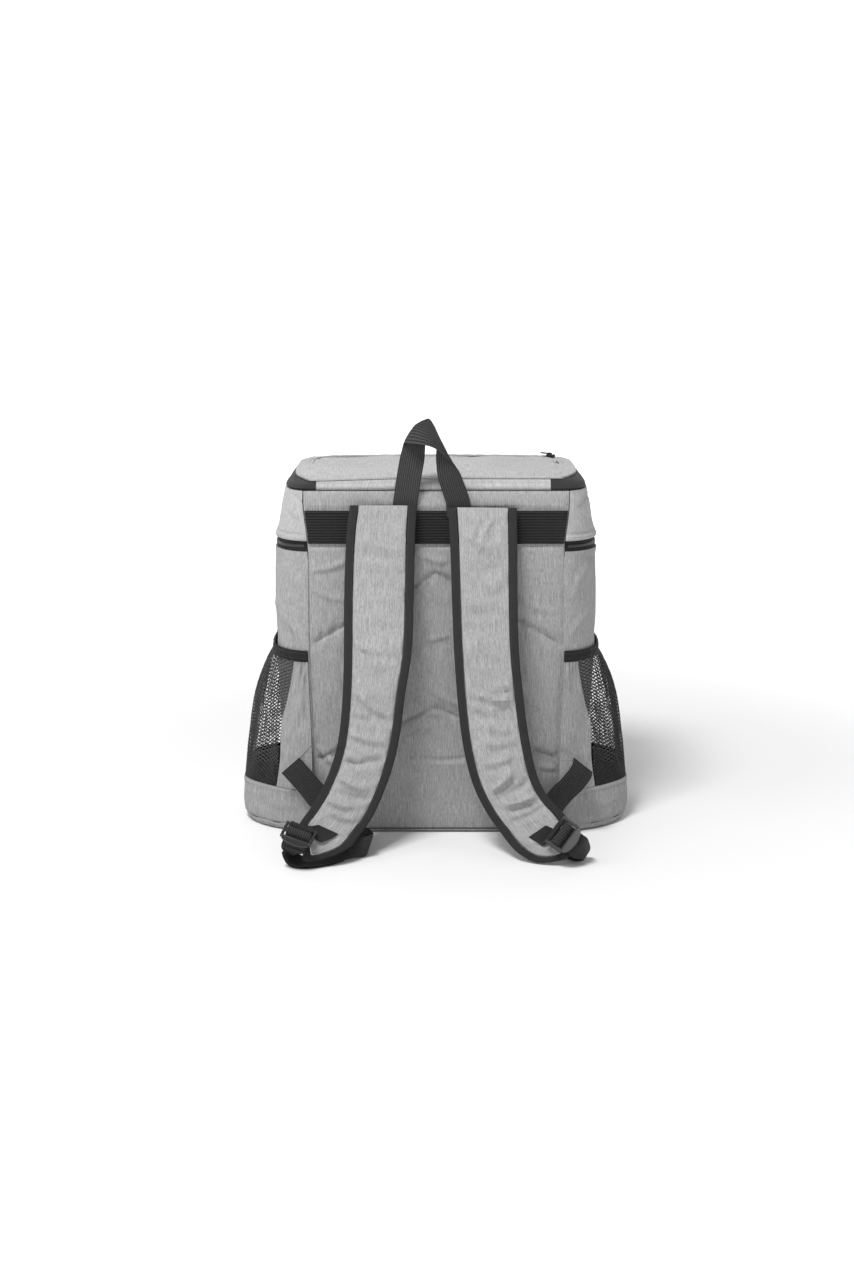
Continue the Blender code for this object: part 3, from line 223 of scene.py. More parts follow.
def heather(name, rgb, contrast=1.0):
    """Woven melange cloth: pale and dark yarns run along its length (v)."""
    m = Mat(name, 0.88, sheen=0.06, spec=0.15)
    uv, u, v = m.uv()
    long = m.noise(m.scaled(uv, 1 / 0.00085, 1 / 0.019), 1.0, 3.0, 0.65)
    short = m.noise(m.scaled(uv, 1 / 0.00055, 1 / 0.0045), 1.0, 2.0, 0.6)
    weft = m.noise(m.scaled(uv, 1 / 0.009, 1 / 0.0008), 1.0, 2.0, 0.6)
    k = 0.27 * contrast
    c1 = m.ramp(long, tint(rgb, 1 - k), tint(rgb, 1 + k), (0.30, 0.70))
    c2 = m.ramp(short, (0.64 + 0.2 * (1 - contrast),) * 3, (1.0, 1.0, 1.0), (0.28, 0.58))
    c3 = m.ramp(weft, (0.93,) * 3, (1.0,) * 3, (0.3, 0.7))
    base = m.mix('MULTIPLY', 1.0, m.mix('MULTIPLY', 1.0, c1, c2), c3)
    tc = m.put("ShaderNodeTexCoord")
    big = m.noise(tc.outputs["Object"], 9.0, 3.0, 0.5)
    base = m.mix('MULTIPLY', 1.0, base, m.ramp(big, (0.93,) * 3, (1.0,) * 3, (0.35, 0.65)))
    m.colour(base)
    warp = m.math('SINE', m.math('MULTIPLY', u, 2 * math.pi / 0.00095))
    weave = m.math('SINE', m.math('MULTIPLY', v, 2 * math.pi / 0.00095))
    cell = m.math('MULTIPLY', warp, weave)
    high = m.math('ADD', m.math('MULTIPLY', cell, 0.35), m.math('ADD', m.math('MULTIPLY', short, 0.9), m.math('MULTIPLY', long, 0.7)))
    m.bump(high, 0.00016, 0.9)
    return m.m


def webbing(name, rgb, pitch=2.6, along=False, rough=0.62, deep=0.00045, light=1.9, sheen=0.15, cross=0.25):
    """Ribbed webbing: ribs run across it, or along it. Its colour follows the rib height, so the grooves carry painted
    shade and the rib tops a painted highlight, with random yarn and grain tone mixed in.
    """
    m = Mat(name, rough, sheen=0.1 * sheen, spec=0.12)
    uv, u, v = m.uv()
    main, other = (u, v) if along else (v, u)
    rib = m.math('SINE', m.math('MULTIPLY', main, 2 * math.pi / (pitch * MM)))
    yarn = m.math('SINE', m.math('ADD', m.math('MULTIPLY', other, 2 * math.pi / (0.9 * MM)), m.math('MULTIPLY', rib, 1.4)))
    grain = m.noise(m.scaled(uv, 1 / 0.0006, 1 / 0.0006), 1.0, 2.0, 0.6)
    high = m.math('ADD', rib, m.math('ADD', m.math('MULTIPLY', yarn, cross), m.math('MULTIPLY', grain, 0.5)))
    # painted shade and highlight: the rib height darkens the grooves and lightens the rib tops; light scales the
    # painted highlight
    painted_rib_shading = m.math('MULTIPLY_ADD', high, 0.28, 0.42)
    m.colour(m.ramp(painted_rib_shading, tint(rgb, 0.45), tint(rgb, 1.35 * light), (0.05, 0.95)))
    m.bump(high, deep, 0.9)
    return m.m


def twill(name, rgb, light=1.8, rough=0.75):
    """Binding tape in a herringbone of fine slanting ribs; its colour follows the rib height, with painted shade in the
    grooves and a painted highlight on the ribs, and random grain tone mixed in.
    """
    m = Mat(name, rough, sheen=0.02, spec=0.10)
    uv, u, v = m.uv()
    zig = m.math('PINGPONG', u, 0.0022)
    rib = m.math('SINE', m.math('MULTIPLY', m.math('ADD', v, m.math('MULTIPLY', zig, 1.2)), 2 * math.pi / 0.0017))
    grain = m.noise(m.scaled(uv, 1 / 0.0007, 1 / 0.0007), 1.0, 2.0, 0.6)
    high = m.math('ADD', rib, m.math('MULTIPLY', grain, 0.8))
    # painted shade and highlight: the colour ramp reads the rib height, darker in the grooves and lighter on the ribs;
    # light scales the painted highlight
    m.colour(m.ramp(m.math('MULTIPLY_ADD', high, 0.25, 0.4), tint(rgb, 0.6), tint(rgb, light), (0.05, 0.95)))
    m.bump(high, 0.00022, 0.8)
    return m.m


def plain(name, rgb, rough=0.7, metal=0.0, grain_mm=0.5, deep=0.00008, spread=0.25, sheen=0.0, spec=None):
    """Thread, moulded plastic or painted metal with a fine grain."""
    m = Mat(name, rough, metal, sheen, spec)
    tc = m.put("ShaderNodeTexCoord")
    g = m.noise(tc.outputs["Object"], 1.0 / (grain_mm * MM), 3.0, 0.6)
    wear = m.noise(tc.outputs["Object"], 60.0, 3.0, 0.6)
    m.colour(m.ramp(g, tint(rgb, 1 - spread), tint(rgb, 1 + spread)))
    m.to(m.math('MULTIPLY_ADD', wear, 0.18, rough - 0.09), m.b.inputs["Roughness"])
    m.bump(g, deep, 0.6)
    return m.m


GREY = (0.345, 0.344, 0.346)
LIGHT = (0.430, 0.429, 0.431)
BLACK = (0.0112, 0.0112, 0.0116)
M_BODY = heather("heather_grey", GREY)
M_PANEL = heather("heather_panel", tint(GREY, 1.0), 1.1)
M_LIGHT = heather("heather_light", LIGHT, 0.9)
M_STRAP = heather("heather_strap", tint(LIGHT, 0.85), 1.0)
M_BAND = webbing("ribbed_band", BLACK, 2.9, False, 0.6, 0.0006, 2.0, cross=0.15)
M_HANDLE = webbing("handle_webbing", tint(BLACK, 2.4), 2.1, True, 0.5, 0.0004, 2.2, cross=0.5)
M_WEB = webbing("adjuster_webbing", tint(BLACK, 2.0), 2.3, True, 0.55, 0.0004, 2.2, cross=0.5)
M_PATCH = webbing("patch_webbing", tint(BLACK, 1.8), 1.7, True, 0.42, 0.0004, 2.0, cross=0.5)
M_BIND = twill("binding_tape", tint(BLACK, 2.1))
M_TRIM = twill("trim_cloth", tint(BLACK, 2.8), 1.6, 0.6)
M_TAPE = webbing("zip_tape", BLACK, 1.1, False, 0.7, 0.00015, 1.8)
M_COIL = plain("zip_coil", tint(BLACK, 1.3), 0.38, 0.0, 0.4, 0.00003, 0.15)
M_NET = plain("net_thread", tint(BLACK, 0.9), 0.6, 0.0, 0.3, 0.00006, 0.3, sheen=0.1)
M_ELASTIC = webbing("elastic_tape", tint(BLACK, 1.1), 1.3, False, 0.7, 0.0003, 1.9)
M_THREAD = plain("dark_thread", tint(BLACK, 0.7), 0.55, 0.0, 0.3, 0.00004, 0.2, sheen=0.2)
M_GREYTHREAD = plain("grey_thread", tint(GREY, 0.55), 0.6, 0.0, 0.3, 0.00004, 0.2, sheen=0.2)
M_NYLON = plain("moulded_nylon", tint(BLACK, 2.0), 0.36, 0.0, 0.8, 0.00002, 0.12)
M_METAL = plain("painted_zinc", (0.035, 0.035, 0.037), 0.3, 0.7, 0.8, 0.00001, 0.1)


# ------------------------------------------------------------ mesh building
def refine(grid, kr, kc):
    """Smooth (Catmull-Rom) reading of a grid at kr, kc times its stations."""
    g = np.asarray(grid, float)
    for axis, k in ((0, kr), (1, kc)):
        if k <= 1:
            continue
        g = np.moveaxis(g, axis, 0)
        n = g.shape[0]
        ext = np.concatenate([[2 * g[0] - g[1]], g, [2 * g[-1] - g[-2]]])
        at = np.linspace(0, n - 1, (n - 1) * k + 1)
        i = np.minimum(at.astype(int), n - 2)
        t = (at - i).reshape((-1,) + (1,) * (g.ndim - 1))
        p0, p1, p2, p3 = ext[i], ext[i + 1], ext[i + 2], ext[i + 3]
        g = 0.5 * (2 * p1 + (p2 - p0) * t + (2 * p0 - 5 * p1 + 4 * p2 - p3) * t ** 2 + (3 * p1 - p0 - 3 * p2 + p3) * t ** 3)
        g = np.moveaxis(g, 0, axis)
    return g


def lengths(g, axis):
    """Running length along one direction of a grid, mean over the other."""
    seg = np.linalg.norm(np.diff(g, axis=axis), axis=2)
    seg = seg.mean(axis=1 - axis)
    return np.concatenate([[0.0], np.cumsum(seg)])


def grid_uv(g, along_rows=True):
    """Cloth coordinates in mm: v runs down the rows, u across the columns."""
    v = lengths(g, 0)[:, None] + np.zeros(g.shape[1])[None, :]
    u = np.zeros(g.shape[0])[:, None] + lengths(g, 1)[None, :]
    return np.stack([u, v] if along_rows else [v, u], axis=-1)


class Piece:
    """One visual piece, gathered from grids, stitches and tubes."""

    def __init__(self, name):
        self.name, self.v, self.uv, self.f, self.mi, self.mats, self.n = name, [], [], [], [], [], 0

    def slot(self, mat):
        if mat not in self.mats:
            self.mats.append(mat)
        return self.mats.index(mat)

    def add(self, verts, faces, mat, uv=None):
        verts = np.asarray(verts, float).reshape(-1, 3)
        self.v.append(verts)
        self.uv.append(np.zeros((len(verts), 2)) if uv is None else np.asarray(uv, float).reshape(-1, 2))
        o = self.n
        self.f += [tuple(i + o for i in f) for f in faces]
        self.mi += [self.slot(mat)] * len(faces)
        self.n += len(verts)
        return self

    def sheet(self, outer, inner, mat, uv=None, wrap=False, capped=False):
        """Closed solid between two grids; or a loft of rings when wrapped."""
        outer = np.asarray(outer, float)
        nr, nc = outer.shape[:2]
        uv = grid_uv(outer) if uv is None else uv
        faces = []
        if wrap:
            for r in range(nr - (1 if capped else 0)):
                r2 = (r + 1) % nr
                for c in range(nc):
                    c2 = (c + 1) % nc
                    faces.append((r * nc + c, r * nc + c2, r2 * nc + c2, r2 * nc + c))
            if capped:
                faces.append(tuple(range(nc - 1, -1, -1)))
                faces.append(tuple((nr - 1) * nc + c for c in range(nc)))
            return self.add(outer, faces, mat, uv)
        inner = np.asarray(inner, float)
        o = nr * nc
        for r in range(nr - 1):
            for c in range(nc - 1):
                a, b, d, e = r * nc + c, r * nc + c + 1, (r + 1) * nc + c + 1, (r + 1) * nc + c
                faces.append((a, b, d, e))
                faces.append((o + a, o + e, o + d, o + b))
        edge = [(0, c) for c in range(nc)] + [(r, nc - 1) for r in range(1, nr)] \
            + [(nr - 1, c) for c in range(nc - 2, -1, -1)] + [(r, 0) for r in range(nr - 2, 0, -1)]
        ids = [r * nc + c for r, c in edge]
        for i, a in enumerate(ids):
            b = ids[(i + 1) % len(ids)]
            faces.append((a, o + a, o + b, b))
        return self.add(np.concatenate([outer.reshape(-1, 3), inner.reshape(-1, 3)]), faces, mat,
                        np.concatenate([uv.reshape(-1, 2), uv.reshape(-1, 2)]))

    def stitches(self, line, normals, mat=None, pitch=3.4, share=0.68, radius=0.28, lift=0.12, skip=0):
        """Row of short raised stitches along a line lying on a surface."""
        line, normals = np.asarray(line, float), np.asarray(normals, float)
        seg = np.linalg.norm(np.diff(line, axis=0), axis=1)
        s = np.concatenate([[0.0], np.cumsum(seg)])
        count = int(s[-1] / pitch)
        at = (np.arange(count) + 0.5) * s[-1] / max(count, 1)

        def read(q, arr):
            return np.stack([np.interp(q, s, arr[:, k]) for k in range(3)], axis=-1)
        half = 0.5 * pitch * share
        a, b, m, n = read(at - half, line), read(at + half, line), read(at, line), read(at, normals)
        n /= np.maximum(np.linalg.norm(n, axis=1, keepdims=True), 1e-9)
        ax = b - a
        ax /= np.maximum(np.linalg.norm(ax, axis=1, keepdims=True), 1e-9)
        sd = np.cross(ax, n)
        verts, faces = [], []
        for i in range(count):
            o = len(verts)
            up = n[i] * (lift + radius)
            verts += [a[i] - n[i] * 0.1, b[i] - n[i] * 0.1]
            for k in (-0.45, 0.45):
                c = m[i] + ax[i] * half * k * 1.5
                verts += [c + sd[i] * radius, c + up, c - sd[i] * radius, c - n[i] * 0.25]
            q, w = o + 2, o + 6
            for k in range(4):
                k2 = (k + 1) % 4
                faces += [(o, q + k, q + k2), (q + k, w + k, w + k2, q + k2), (w + k, o + 1, w + k2)]
        return self.add(verts, faces, M_THREAD if mat is None else mat)

    def tube(self, line, radius, mat, sides=5, normal=None, flat=1.0):
        """Closed tube along a line of points."""
        line = np.asarray(line, float)
        tan = np.gradient(line, axis=0)
        tan /= np.maximum(np.linalg.norm(tan, axis=1, keepdims=True), 1e-9)
        ref = np.array((0.0, 0.0, 1.0)) if normal is None else np.asarray(normal, float)
        if ref.ndim == 1:
            ref = np.tile(ref, (len(line), 1))
            bad = np.abs((ref * tan).sum(1)) > 0.95
            ref[bad] = (1.0, 0.0, 0.0)
        sd = np.cross(tan, ref)
        sd /= np.maximum(np.linalg.norm(sd, axis=1, keepdims=True), 1e-9)
        up = np.cross(sd, tan)
        ang = 2 * math.pi * np.arange(sides) / sides
        ring = line[:, None] + radius * (np.cos(ang)[None, :, None] * sd[:, None] + flat * np.sin(ang)[None, :, None] * up[:, None])
        n = len(line)
        s = np.concatenate([[0.0], np.cumsum(np.linalg.norm(np.diff(line, axis=0), axis=1))])
        uv = np.stack([np.tile(np.arange(sides) * radius, (n, 1)), np.tile(s[:, None], (1, sides))], axis=-1)
        return self.sheet(ring, None, mat, uv, wrap=True, capped=True)

    def make(self, *nodes, slot=None, angle=48.0, recalc=True):
        me = bpy.data.meshes.new(self.name)
        v = np.concatenate(self.v) * MM
        me.from_pydata(v.tolist(), [], self.f)
        me.polygons.foreach_set("material_index", np.array(self.mi, dtype=np.int32))
        layer = me.uv_layers.new(name="cloth")
        uv = np.concatenate(self.uv) * MM
        idx = np.empty(len(me.loops), dtype=np.int32)
        me.loops.foreach_get("vertex_index", idx)
        layer.data.foreach_set("uv", uv[idx].astype(np.float32).ravel())
        for m in self.mats:
            me.materials.append(m)
        if recalc:
            bm = bmesh.new()
            bm.from_mesh(me)
            bmesh.ops.recalc_face_normals(bm, faces=bm.faces)
            bm.to_mesh(me)
            bm.free()
        me.polygons.foreach_set("use_smooth", np.ones(len(me.polygons), dtype=bool))
        me.set_sharp_from_angle(angle=math.radians(angle))
        ob = bpy.data.objects.new(self.name, me)
        bpy.context.scene.collection.objects.link(ob)
        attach(ob, "root")
        if nodes:
            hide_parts(*nodes)
        return ob


# ------------------------------------------------- the bag's own geometry


def interp(table, key, cols):
    """Smooth (Catmull-Rom) reading of a table of rows at one key value."""
    t = np.array(table, float)
    k = t[:, 0]
    if k[0] > k[-1]:
        t = t[::-1]
        k = t[:, 0]
    key = min(max(key, k[0]), k[-1])
    i = int(min(max(np.searchsorted(k, key) - 1, 0), len(k) - 2))
    u = (key - k[i]) / (k[i + 1] - k[i])
    out = []
    for c in cols:
        p1, p2 = t[i, c], t[i + 1, c]
        m1 = (t[i + 1, c] - t[i - 1, c]) / (k[i + 1] - k[i - 1]) if i > 0 else (p2 - p1) / (k[i + 1] - k[i])
        m2 = (t[i + 2, c] - t[i, c]) / (k[i + 2] - k[i]) if i + 2 < len(k) else (p2 - p1) / (k[i + 1] - k[i])
        h = k[i + 1] - k[i]
        out.append((2 * u**3 - 3 * u**2 + 1) * p1 + (u**3 - 2 * u**2 + u) * h * m1
                   + (-2 * u**3 + 3 * u**2) * p2 + (u**3 - u**2) * h * m2)
    return out


def grid_normals(g):
    """Unit normals of a grid of points, from its two directions."""
    g = np.array(g, float)
    du = np.gradient(g, axis=0)
    dv = np.gradient(g, axis=1)
    n = np.cross(dv, du)
    n /= np.maximum(np.linalg.norm(n, axis=2, keepdims=True), 1e-9)
    return n


def corner(cx, cy, sx, sy, rx, ry, n, count, outward):
    """Superellipse quarter from the back or front flat to the side."""
    pts = []
    for i in range(count + 1):
        t = 0.5 * math.pi * i / count
        x = cx + sx * rx * math.sin(t) ** (2.0 / n)
        y = cy + sy * ry * math.cos(t) ** (2.0 / n)
        pts.append((x, y))
    return pts if outward else pts[::-1]


# z, half width at the back seams, half width of the bag, back y, front y
BODY = [
    (0.0, 126.0, 157.0, -90.0, 88.0),
    (4.0, 127.5, 161.0, -94.2, 91.5),
    (14.0, 129.0, 164.5, -94.6, 93.0),
    (60.0, 129.5, 166.5, -95.0, 94.0),
    (107.0, 129.5, 168.0, -95.0, 94.8),
    (196.0, 132.0, 170.6, -95.0, 95.0),
    (250.0, 132.0, 171.0, -95.0, 95.0),
    (313.0, 132.2, 168.4, -95.0, 94.5),
    (348.0, 135.6, 163.0, -95.0, 92.5),
    (368.0, 136.0, 159.0, -95.0, 90.5),
]
CORNER_DEPTH = 45.0
CORNER_POWER = 1.85
PAD = 8.6           # depth of the back panel's pad


def plan(z, inset=0.0, recess=0.0, n_back=7, n_cor=7, n_side=5, n_front=9):
    """Closed outline at height z, inset all round; the part of the back
    between the side seams can be set back to make room for the panel."""
    s, w, yb, yf = interp(BODY, z, (1, 2, 3, 4))
    rx, ry = w - s, CORNER_DEPTH
    k = inset
    wi, yi, fi = w - k, yb + k, yf - k
    si = s - 0.35 * k if recess == 0.0 else s + GAP
    pts = []
    for i in range(n_back):                       # back flat, left to right
        x = -si + 2 * si * i / (n_back - 1)
        pts.append((x, yi if recess == 0.0 else yb + recess))
    if recess > 0.0:
        pts.append((si, yi + 0.02))
    cyb, cyf = yb + ry, yf - ry
    right_b = corner(s - 0.35 * k, cyb, 1, -1, rx - 0.65 * k, ry - k, CORNER_POWER, n_cor, True)
    right_f = corner(s - 0.35 * k, cyf, 1, 1, rx - 0.65 * k, ry - k, CORNER_POWER, n_cor, False)
    pts += right_b[1:]
    for i in range(1, n_side):
        f = i / n_side
        pts.append((wi + 0.6 * math.sin(math.pi * f), cyb + (cyf - cyb) * f))
    pts += right_f
    for i in range(1, n_front):
        f = i / n_front
        pts.append(((s - 0.35 * k) * (1 - 2 * f), fi + 1.2 * math.sin(math.pi * f)))
    pts += [(-x, y) for x, y in right_f[::-1]]
    for i in range(1, n_side):
        f = i / n_side
        pts.append((-wi - 0.6 * math.sin(math.pi * f), cyf + (cyb - cyf) * f))
    pts += [(-x, y) for x, y in right_b[1:]][::-1]
    if recess > 0.0:
        pts.append((-si, yi + 0.02))
    return pts


WALL = 6.0
ZIP_LOW, ZIP_HIGH = 305.0, 315.6
PANEL_LOW, PANEL_HIGH = 5.4, 367.4
# chevron seams: apex z, z at the side seams, groove depth, groove half width
CHEVRONS = [(283.0, 206.0, 2.2, 5.0), (139.0, 80.0, 2.0, 5.0)]
BAND_LOW, BAND_HIGH = 313.0, 348.0


def panel_front(x, z):
    """Distance of the pad's front in front of the back plane."""
    s = interp(BODY, z, (1,))[0]
    edge = min(1.0, (s - abs(x)) / 14.0)
    ends = min(1.0, (z - PANEL_LOW) / 14.0, (PANEL_HIGH - z) / 10.0)
    d = -1.6 + 2.4 * math.sqrt(max(edge, 0.0)) * math.sqrt(max(ends, 0.0))
    for apex, side, deep, half in CHEVRONS:
        zc = apex + (side - apex) * abs(x) / s
        d -= deep * math.exp(-((z - zc) / half) ** 2) * min(1.0, edge * 2)
    if BAND_LOW - 3 < z < BAND_HIGH + 3:
        d = min(d, -0.9)
    return d


UP_WALL = 4.5
# zip band: from one back seam round the sides and front to the other
ZIP_T = 1.6


def open_path(z, inset, n_cor=7, n_side=5, n_front=9):
    """Open outline from the right back seam round the front to the left."""
    full = plan(z, inset, 0.0, 7, n_cor, n_side, n_front)
    return full[6:] + [full[0]]


path_lo = open_path(ZIP_LOW, 1.2)
path_hi = open_path(ZIP_HIGH, 1.2)
in_lo = open_path(ZIP_LOW, 1.2 + ZIP_T)
in_hi = open_path(ZIP_HIGH, 1.2 + ZIP_T)


def trim_start(path):
    p = list(path)
    p[0] = (p[0][0] + 1.2, p[0][1])
    p[-1] = (p[-1][0] - 1.2, p[-1][1])
    return p


# rim: leans inward from the upper section to the lid
# z, half width at the back seams, half width, back y, front y
RIM = [
    (368.1, 133.0, 156.0, -91.0, 89.0),
    (373.0, 131.0, 153.6, -89.4, 87.5),
    (378.6, 127.0, 149.0, -85.6, 84.0),
]
RIM_WALL = 3.0
RIM_CUT_LEFT, RIM_CUT_RIGHT = -123.0, 117.3   # where grey changes to black


def lid_height(x, y):
    """Height of the lid's top, slightly domed and rising from the back."""
    a = 1.0 - math.exp(-max(y + 86.0, 0.0) / 30.0)
    b = max(0.0, 1.0 - (x / 150.0) ** 2)
    sag = 2.6 * min(1.0, max(0.0, (-x - 40.0) / 80.0)) * math.exp(-max(y + 86.0, 0.0) / 60.0)
    return 379.2 + 3.0 * a + 1.6 * b * a - sag


def rim_outline(row, inset, n_back=9):
    z, s, w, yb, yf = row
    s -= 0.35 * inset
    rx, ry = w - s - inset, 42.0 - inset
    rb = corner(s, yb + 42.0, 1, -1, rx, ry, 1.9, 7, True)
    rf = corner(s, yf - 42.0, 1, 1, rx, ry, 1.9, 7, False)
    back = [(-s + 2 * s * i / (n_back - 1), yb + inset) for i in range(n_back)]
    pts = back + rb[1:] + [(w - inset, (yb + yf) * 0.5 + dy) for dy in (-28, 0, 28)] + rf
    pts += [(s * (1 - 2 * i / 8.0), yf - inset) for i in range(1, 8)]
    pts += [(-x, y) for x, y in rf[::-1]] + [(-w + inset, (yb + yf) * 0.5 + dy) for dy in (28, 0, -28)]
    pts += [(-x, y) for x, y in rb[1:]][::-1]
    return pts


def cut_open(pts, x_left, x_right, keep_back):
    """Part of a closed outline behind, or in front of, two cuts on its back flat."""
    yb = min(p[1] for p in pts)
    back = [p for p in pts if p[1] < yb + 0.01 and x_left < p[0] < x_right]
    if keep_back:
        return [(x_left, yb)] + back + [(x_right, yb)]
    rest, n = [], len(pts)
    start = max(i for i, p in enumerate(pts) if p[1] < yb + 0.01 and p[0] <= x_right) + 1
    for i in range(n):
        p = pts[(start + i) % n]
        if p[1] < yb + 0.01 and x_left <= p[0] <= x_right:
            continue
        rest.append(p)
    return [(x_right, yb)] + rest + [(x_left, yb)]


# the top: one cloth on a gentle dome, slit near its front edge for the zip
TOP_T = 2.6
TOP_HALF, TOP_BACK, TOP_FRONT = 148.6, -85.2, 83.6
SLIT_OUT, SLIT_IN = 13.0, 19.0    # the slit's two sides, inward from the edge
SLIT_FROM = 3                     # outline station where the slit starts and ends
LEGS, BEND = 6, 7                 # stations along a side and round a front corner


def u_path(inset, radius=42.0):
    """Open U: up the right side, round the front, down the left side."""
    w, f = TOP_HALF - inset, TOP_FRONT - inset
    r = max(radius - inset, 8.0)
    leg = f - r - TOP_BACK
    pts = [(w, TOP_BACK + 0.3 + leg * share) for share in (0.0, 0.2, 0.42, 0.68, 0.8, 0.92)]
    pts += [(w - r + r * math.cos(a), f - r + r * math.sin(a)) for a in [0.5 * math.pi * i / BEND for i in range(BEND + 1)]]
    pts += [((w - r) * (1 - 2 * i / 6.0), f) for i in range(1, 6)]
    pts += [(-x, y) for x, y in pts[:LEGS + BEND + 1]][::-1]
    return [(back_narrow(x, y), y) for x, y in pts]


def back_narrow(x, y, s=127.0):
    """The lid's outline narrows toward its back corners."""
    if y > TOP_BACK + 42.0:
        return x
    t = min(1.0, (TOP_BACK + 42.0 - y) / 42.0)
    lim = s + (TOP_HALF - s) * (1.0 - t ** 1.9) ** (1 / 1.9)
    return x * lim / TOP_HALF


def lid_cage():
    rings = [u_path(k) for k in (0.4, 7.0, SLIT_OUT, SLIT_IN, 26.0)]
    nc, last = len(rings[0]), len(rings[0]) - 1
    verts, quads = [], []
    for ring in rings:
        verts += [(x, y, lid_height(x, y) + 2.4) for x, y in ring]
    for r in range(len(rings) - 1):
        for c in range(nc - 1):
            if r == 2 and SLIT_FROM <= c < last - SLIT_FROM:
                continue
            quads.append([r * nc + c, r * nc + c + 1, (r + 1) * nc + c + 1, (r + 1) * nc + c])
    # the middle, from station to station across
    inner, across = rings[-1], 8
    grid = []
    for i in range(LEGS + BEND + 1):
        row = [(len(rings) - 1) * nc + i]
        (xr, yr), (xl, yl) = inner[i], inner[last - i]
        if i < LEGS + BEND:
            for j in range(1, across):
                x = xr + (xl - xr) * j / across
                verts.append((x, yr, lid_height(x, yr) + 2.4))
                row.append(len(verts) - 1)
            row.append((len(rings) - 1) * nc + last - i)
        grid.append(row)
    front = [(len(rings) - 1) * nc + LEGS + BEND + i for i in range(last - 2 * (LEGS + BEND) + 1)]
    for i in range(LEGS + BEND - 1):
        for j in range(across):
            quads.append([grid[i][j], grid[i + 1][j], grid[i + 1][j + 1], grid[i][j + 1]])
    # the last row has as many stations as the front edge: six and eight across
    a, b = grid[LEGS + BEND - 1], front
    ia = ib = 0
    while ia < len(a) - 1 or ib < len(b) - 1:
        if ib == len(b) - 1 or (ia < len(a) - 1 and (ia + 1) / (len(a) - 1) <= (ib + 1) / (len(b) - 1)):
            quads.append([a[ia], b[ib], a[ia + 1]])
            ia += 1
        else:
            quads.append([a[ia], b[ib], b[ib + 1]])
            ib += 1
    return verts, quads


def unit(v):
    v = np.array(v, float)
    return v / np.linalg.norm(v)


def frame_from(a, b):
    a = unit(a)
    b = np.array(b, float)
    b = unit(b - a * np.dot(a, b))
    n = np.cross(a, b)
    if n[2] < 0:
        n = -n
    return a, b, n


# carry handle: edge A turns over at the front of the crown, edge B behind
# A: x, d, z; B: x, d, z
HANDLE = [
    (-45.2, 1.9, 341.0, -19.9, 1.9, 341.0),
    (-44.6, 2.6, 352.0, -19.4, 2.6, 352.0),
    (-41.0, 6.5, 378.5, -15.8, 6.5, 378.5),
    (-37.5, 9.5, 399.0, -12.2, 9.0, 399.0),
    (-34.4, 12.0, 412.6, -11.2, 10.5, 413.0),
    (-32.1, 14.5, 418.0, -10.7, 10.5, 427.0),
    (-28.3, 18.0, 418.3, -10.4, 9.5, 435.0),
    (-22.3, 21.0, 418.2, -9.7, 8.0, 440.0),
    (-15.1, 23.0, 417.5, -8.2, 7.0, 441.8),
    (-7.1, 22.5, 415.8, -5.2, 7.0, 439.6),
    (-1.1, 20.5, 413.2, -1.9, 8.0, 433.2),
    (4.9, 18.5, 408.5, -0.1, 9.0, 425.4),
    (9.8, 16.0, 403.2, 0.2, 9.8, 415.0),
    (16.3, 13.5, 397.2, -0.3, 10.0, 403.6),
    (22.8, 11.5, 389.7, 0.7, 9.5, 388.7),
    (27.0, 9.5, 380.2, 3.3, 8.0, 377.0),
    (31.5, 6.5, 368.2, 6.4, 6.2, 367.2),
    (34.8, 3.6, 356.0, 10.0, 3.6, 355.5),
    (35.3, 2.0, 342.0, 10.4, 2.0, 341.5),
]
# shoulder straps at full width: outer edge x, d, z, then inner edge x, d, z
# (d is the front face; rows run from the top seam to past the round tip)
STRAP_L = [
    (-87.8, 9.6, 354.6, -19.8, 9.6, 354.4),
    (-91.8, 15.0, 319.8, -21.6, 15.0, 319.8),
    (-94.1, 24.0, 259.4, -23.0, 24.0, 259.4),
    (-94.5, 32.0, 208.9, -24.9, 32.0, 208.9),
    (-95.9, 40.0, 163.4, -31.9, 40.0, 163.4),
    (-99.2, 48.0, 126.0, -37.1, 47.0, 122.9),
    (-105.5, 57.0, 98.0, -44.8, 55.0, 90.0),
    (-116.5, 68.0, 72.0, -53.4, 63.0, 66.9),
    (-128.2, 79.0, 54.5, -64.5, 73.0, 44.5),
    (-137.9, 88.0, 42.5, -77.5, 84.0, 28.5),
    (-138.9, 96.0, 35.0, -87.3, 95.0, 20.0),
    (-136.6, 103.0, 25.6, -104.0, 103.0, 12.0),
    (-137.6, 109.5, 16.5, -127.0, 110.0, 4.0),
]
STRAP_R = [
    (82.1, 9.6, 352.0, 11.9, 9.6, 352.6),
    (82.5, 15.0, 319.8, 14.0, 15.0, 319.8),
    (83.2, 24.0, 259.4, 16.1, 24.0, 259.4),
    (84.7, 32.0, 208.9, 18.2, 32.0, 208.9),
    (89.8, 40.0, 158.1, 21.9, 40.0, 158.1),
    (96.4, 48.0, 113.0, 27.5, 48.0, 112.5),
    (104.6, 56.0, 80.0, 36.8, 56.0, 75.3),
    (115.6, 64.0, 61.0, 50.1, 64.0, 48.0),
    (128.4, 73.0, 49.5, 65.3, 73.0, 27.5),
    (136.0, 82.0, 41.0, 79.8, 85.0, 12.5),
    (137.0, 89.0, 34.8, 95.1, 92.0, 4.0),
    (138.0, 95.0, 26.0, 111.8, 98.0, 3.0),
    (137.0, 99.5, 16.3, 127.0, 101.0, 3.6),
]
BIND_W = 8.6          # width of the binding
TIP_ROWS = 1.8        # rows over which the tip rounds off


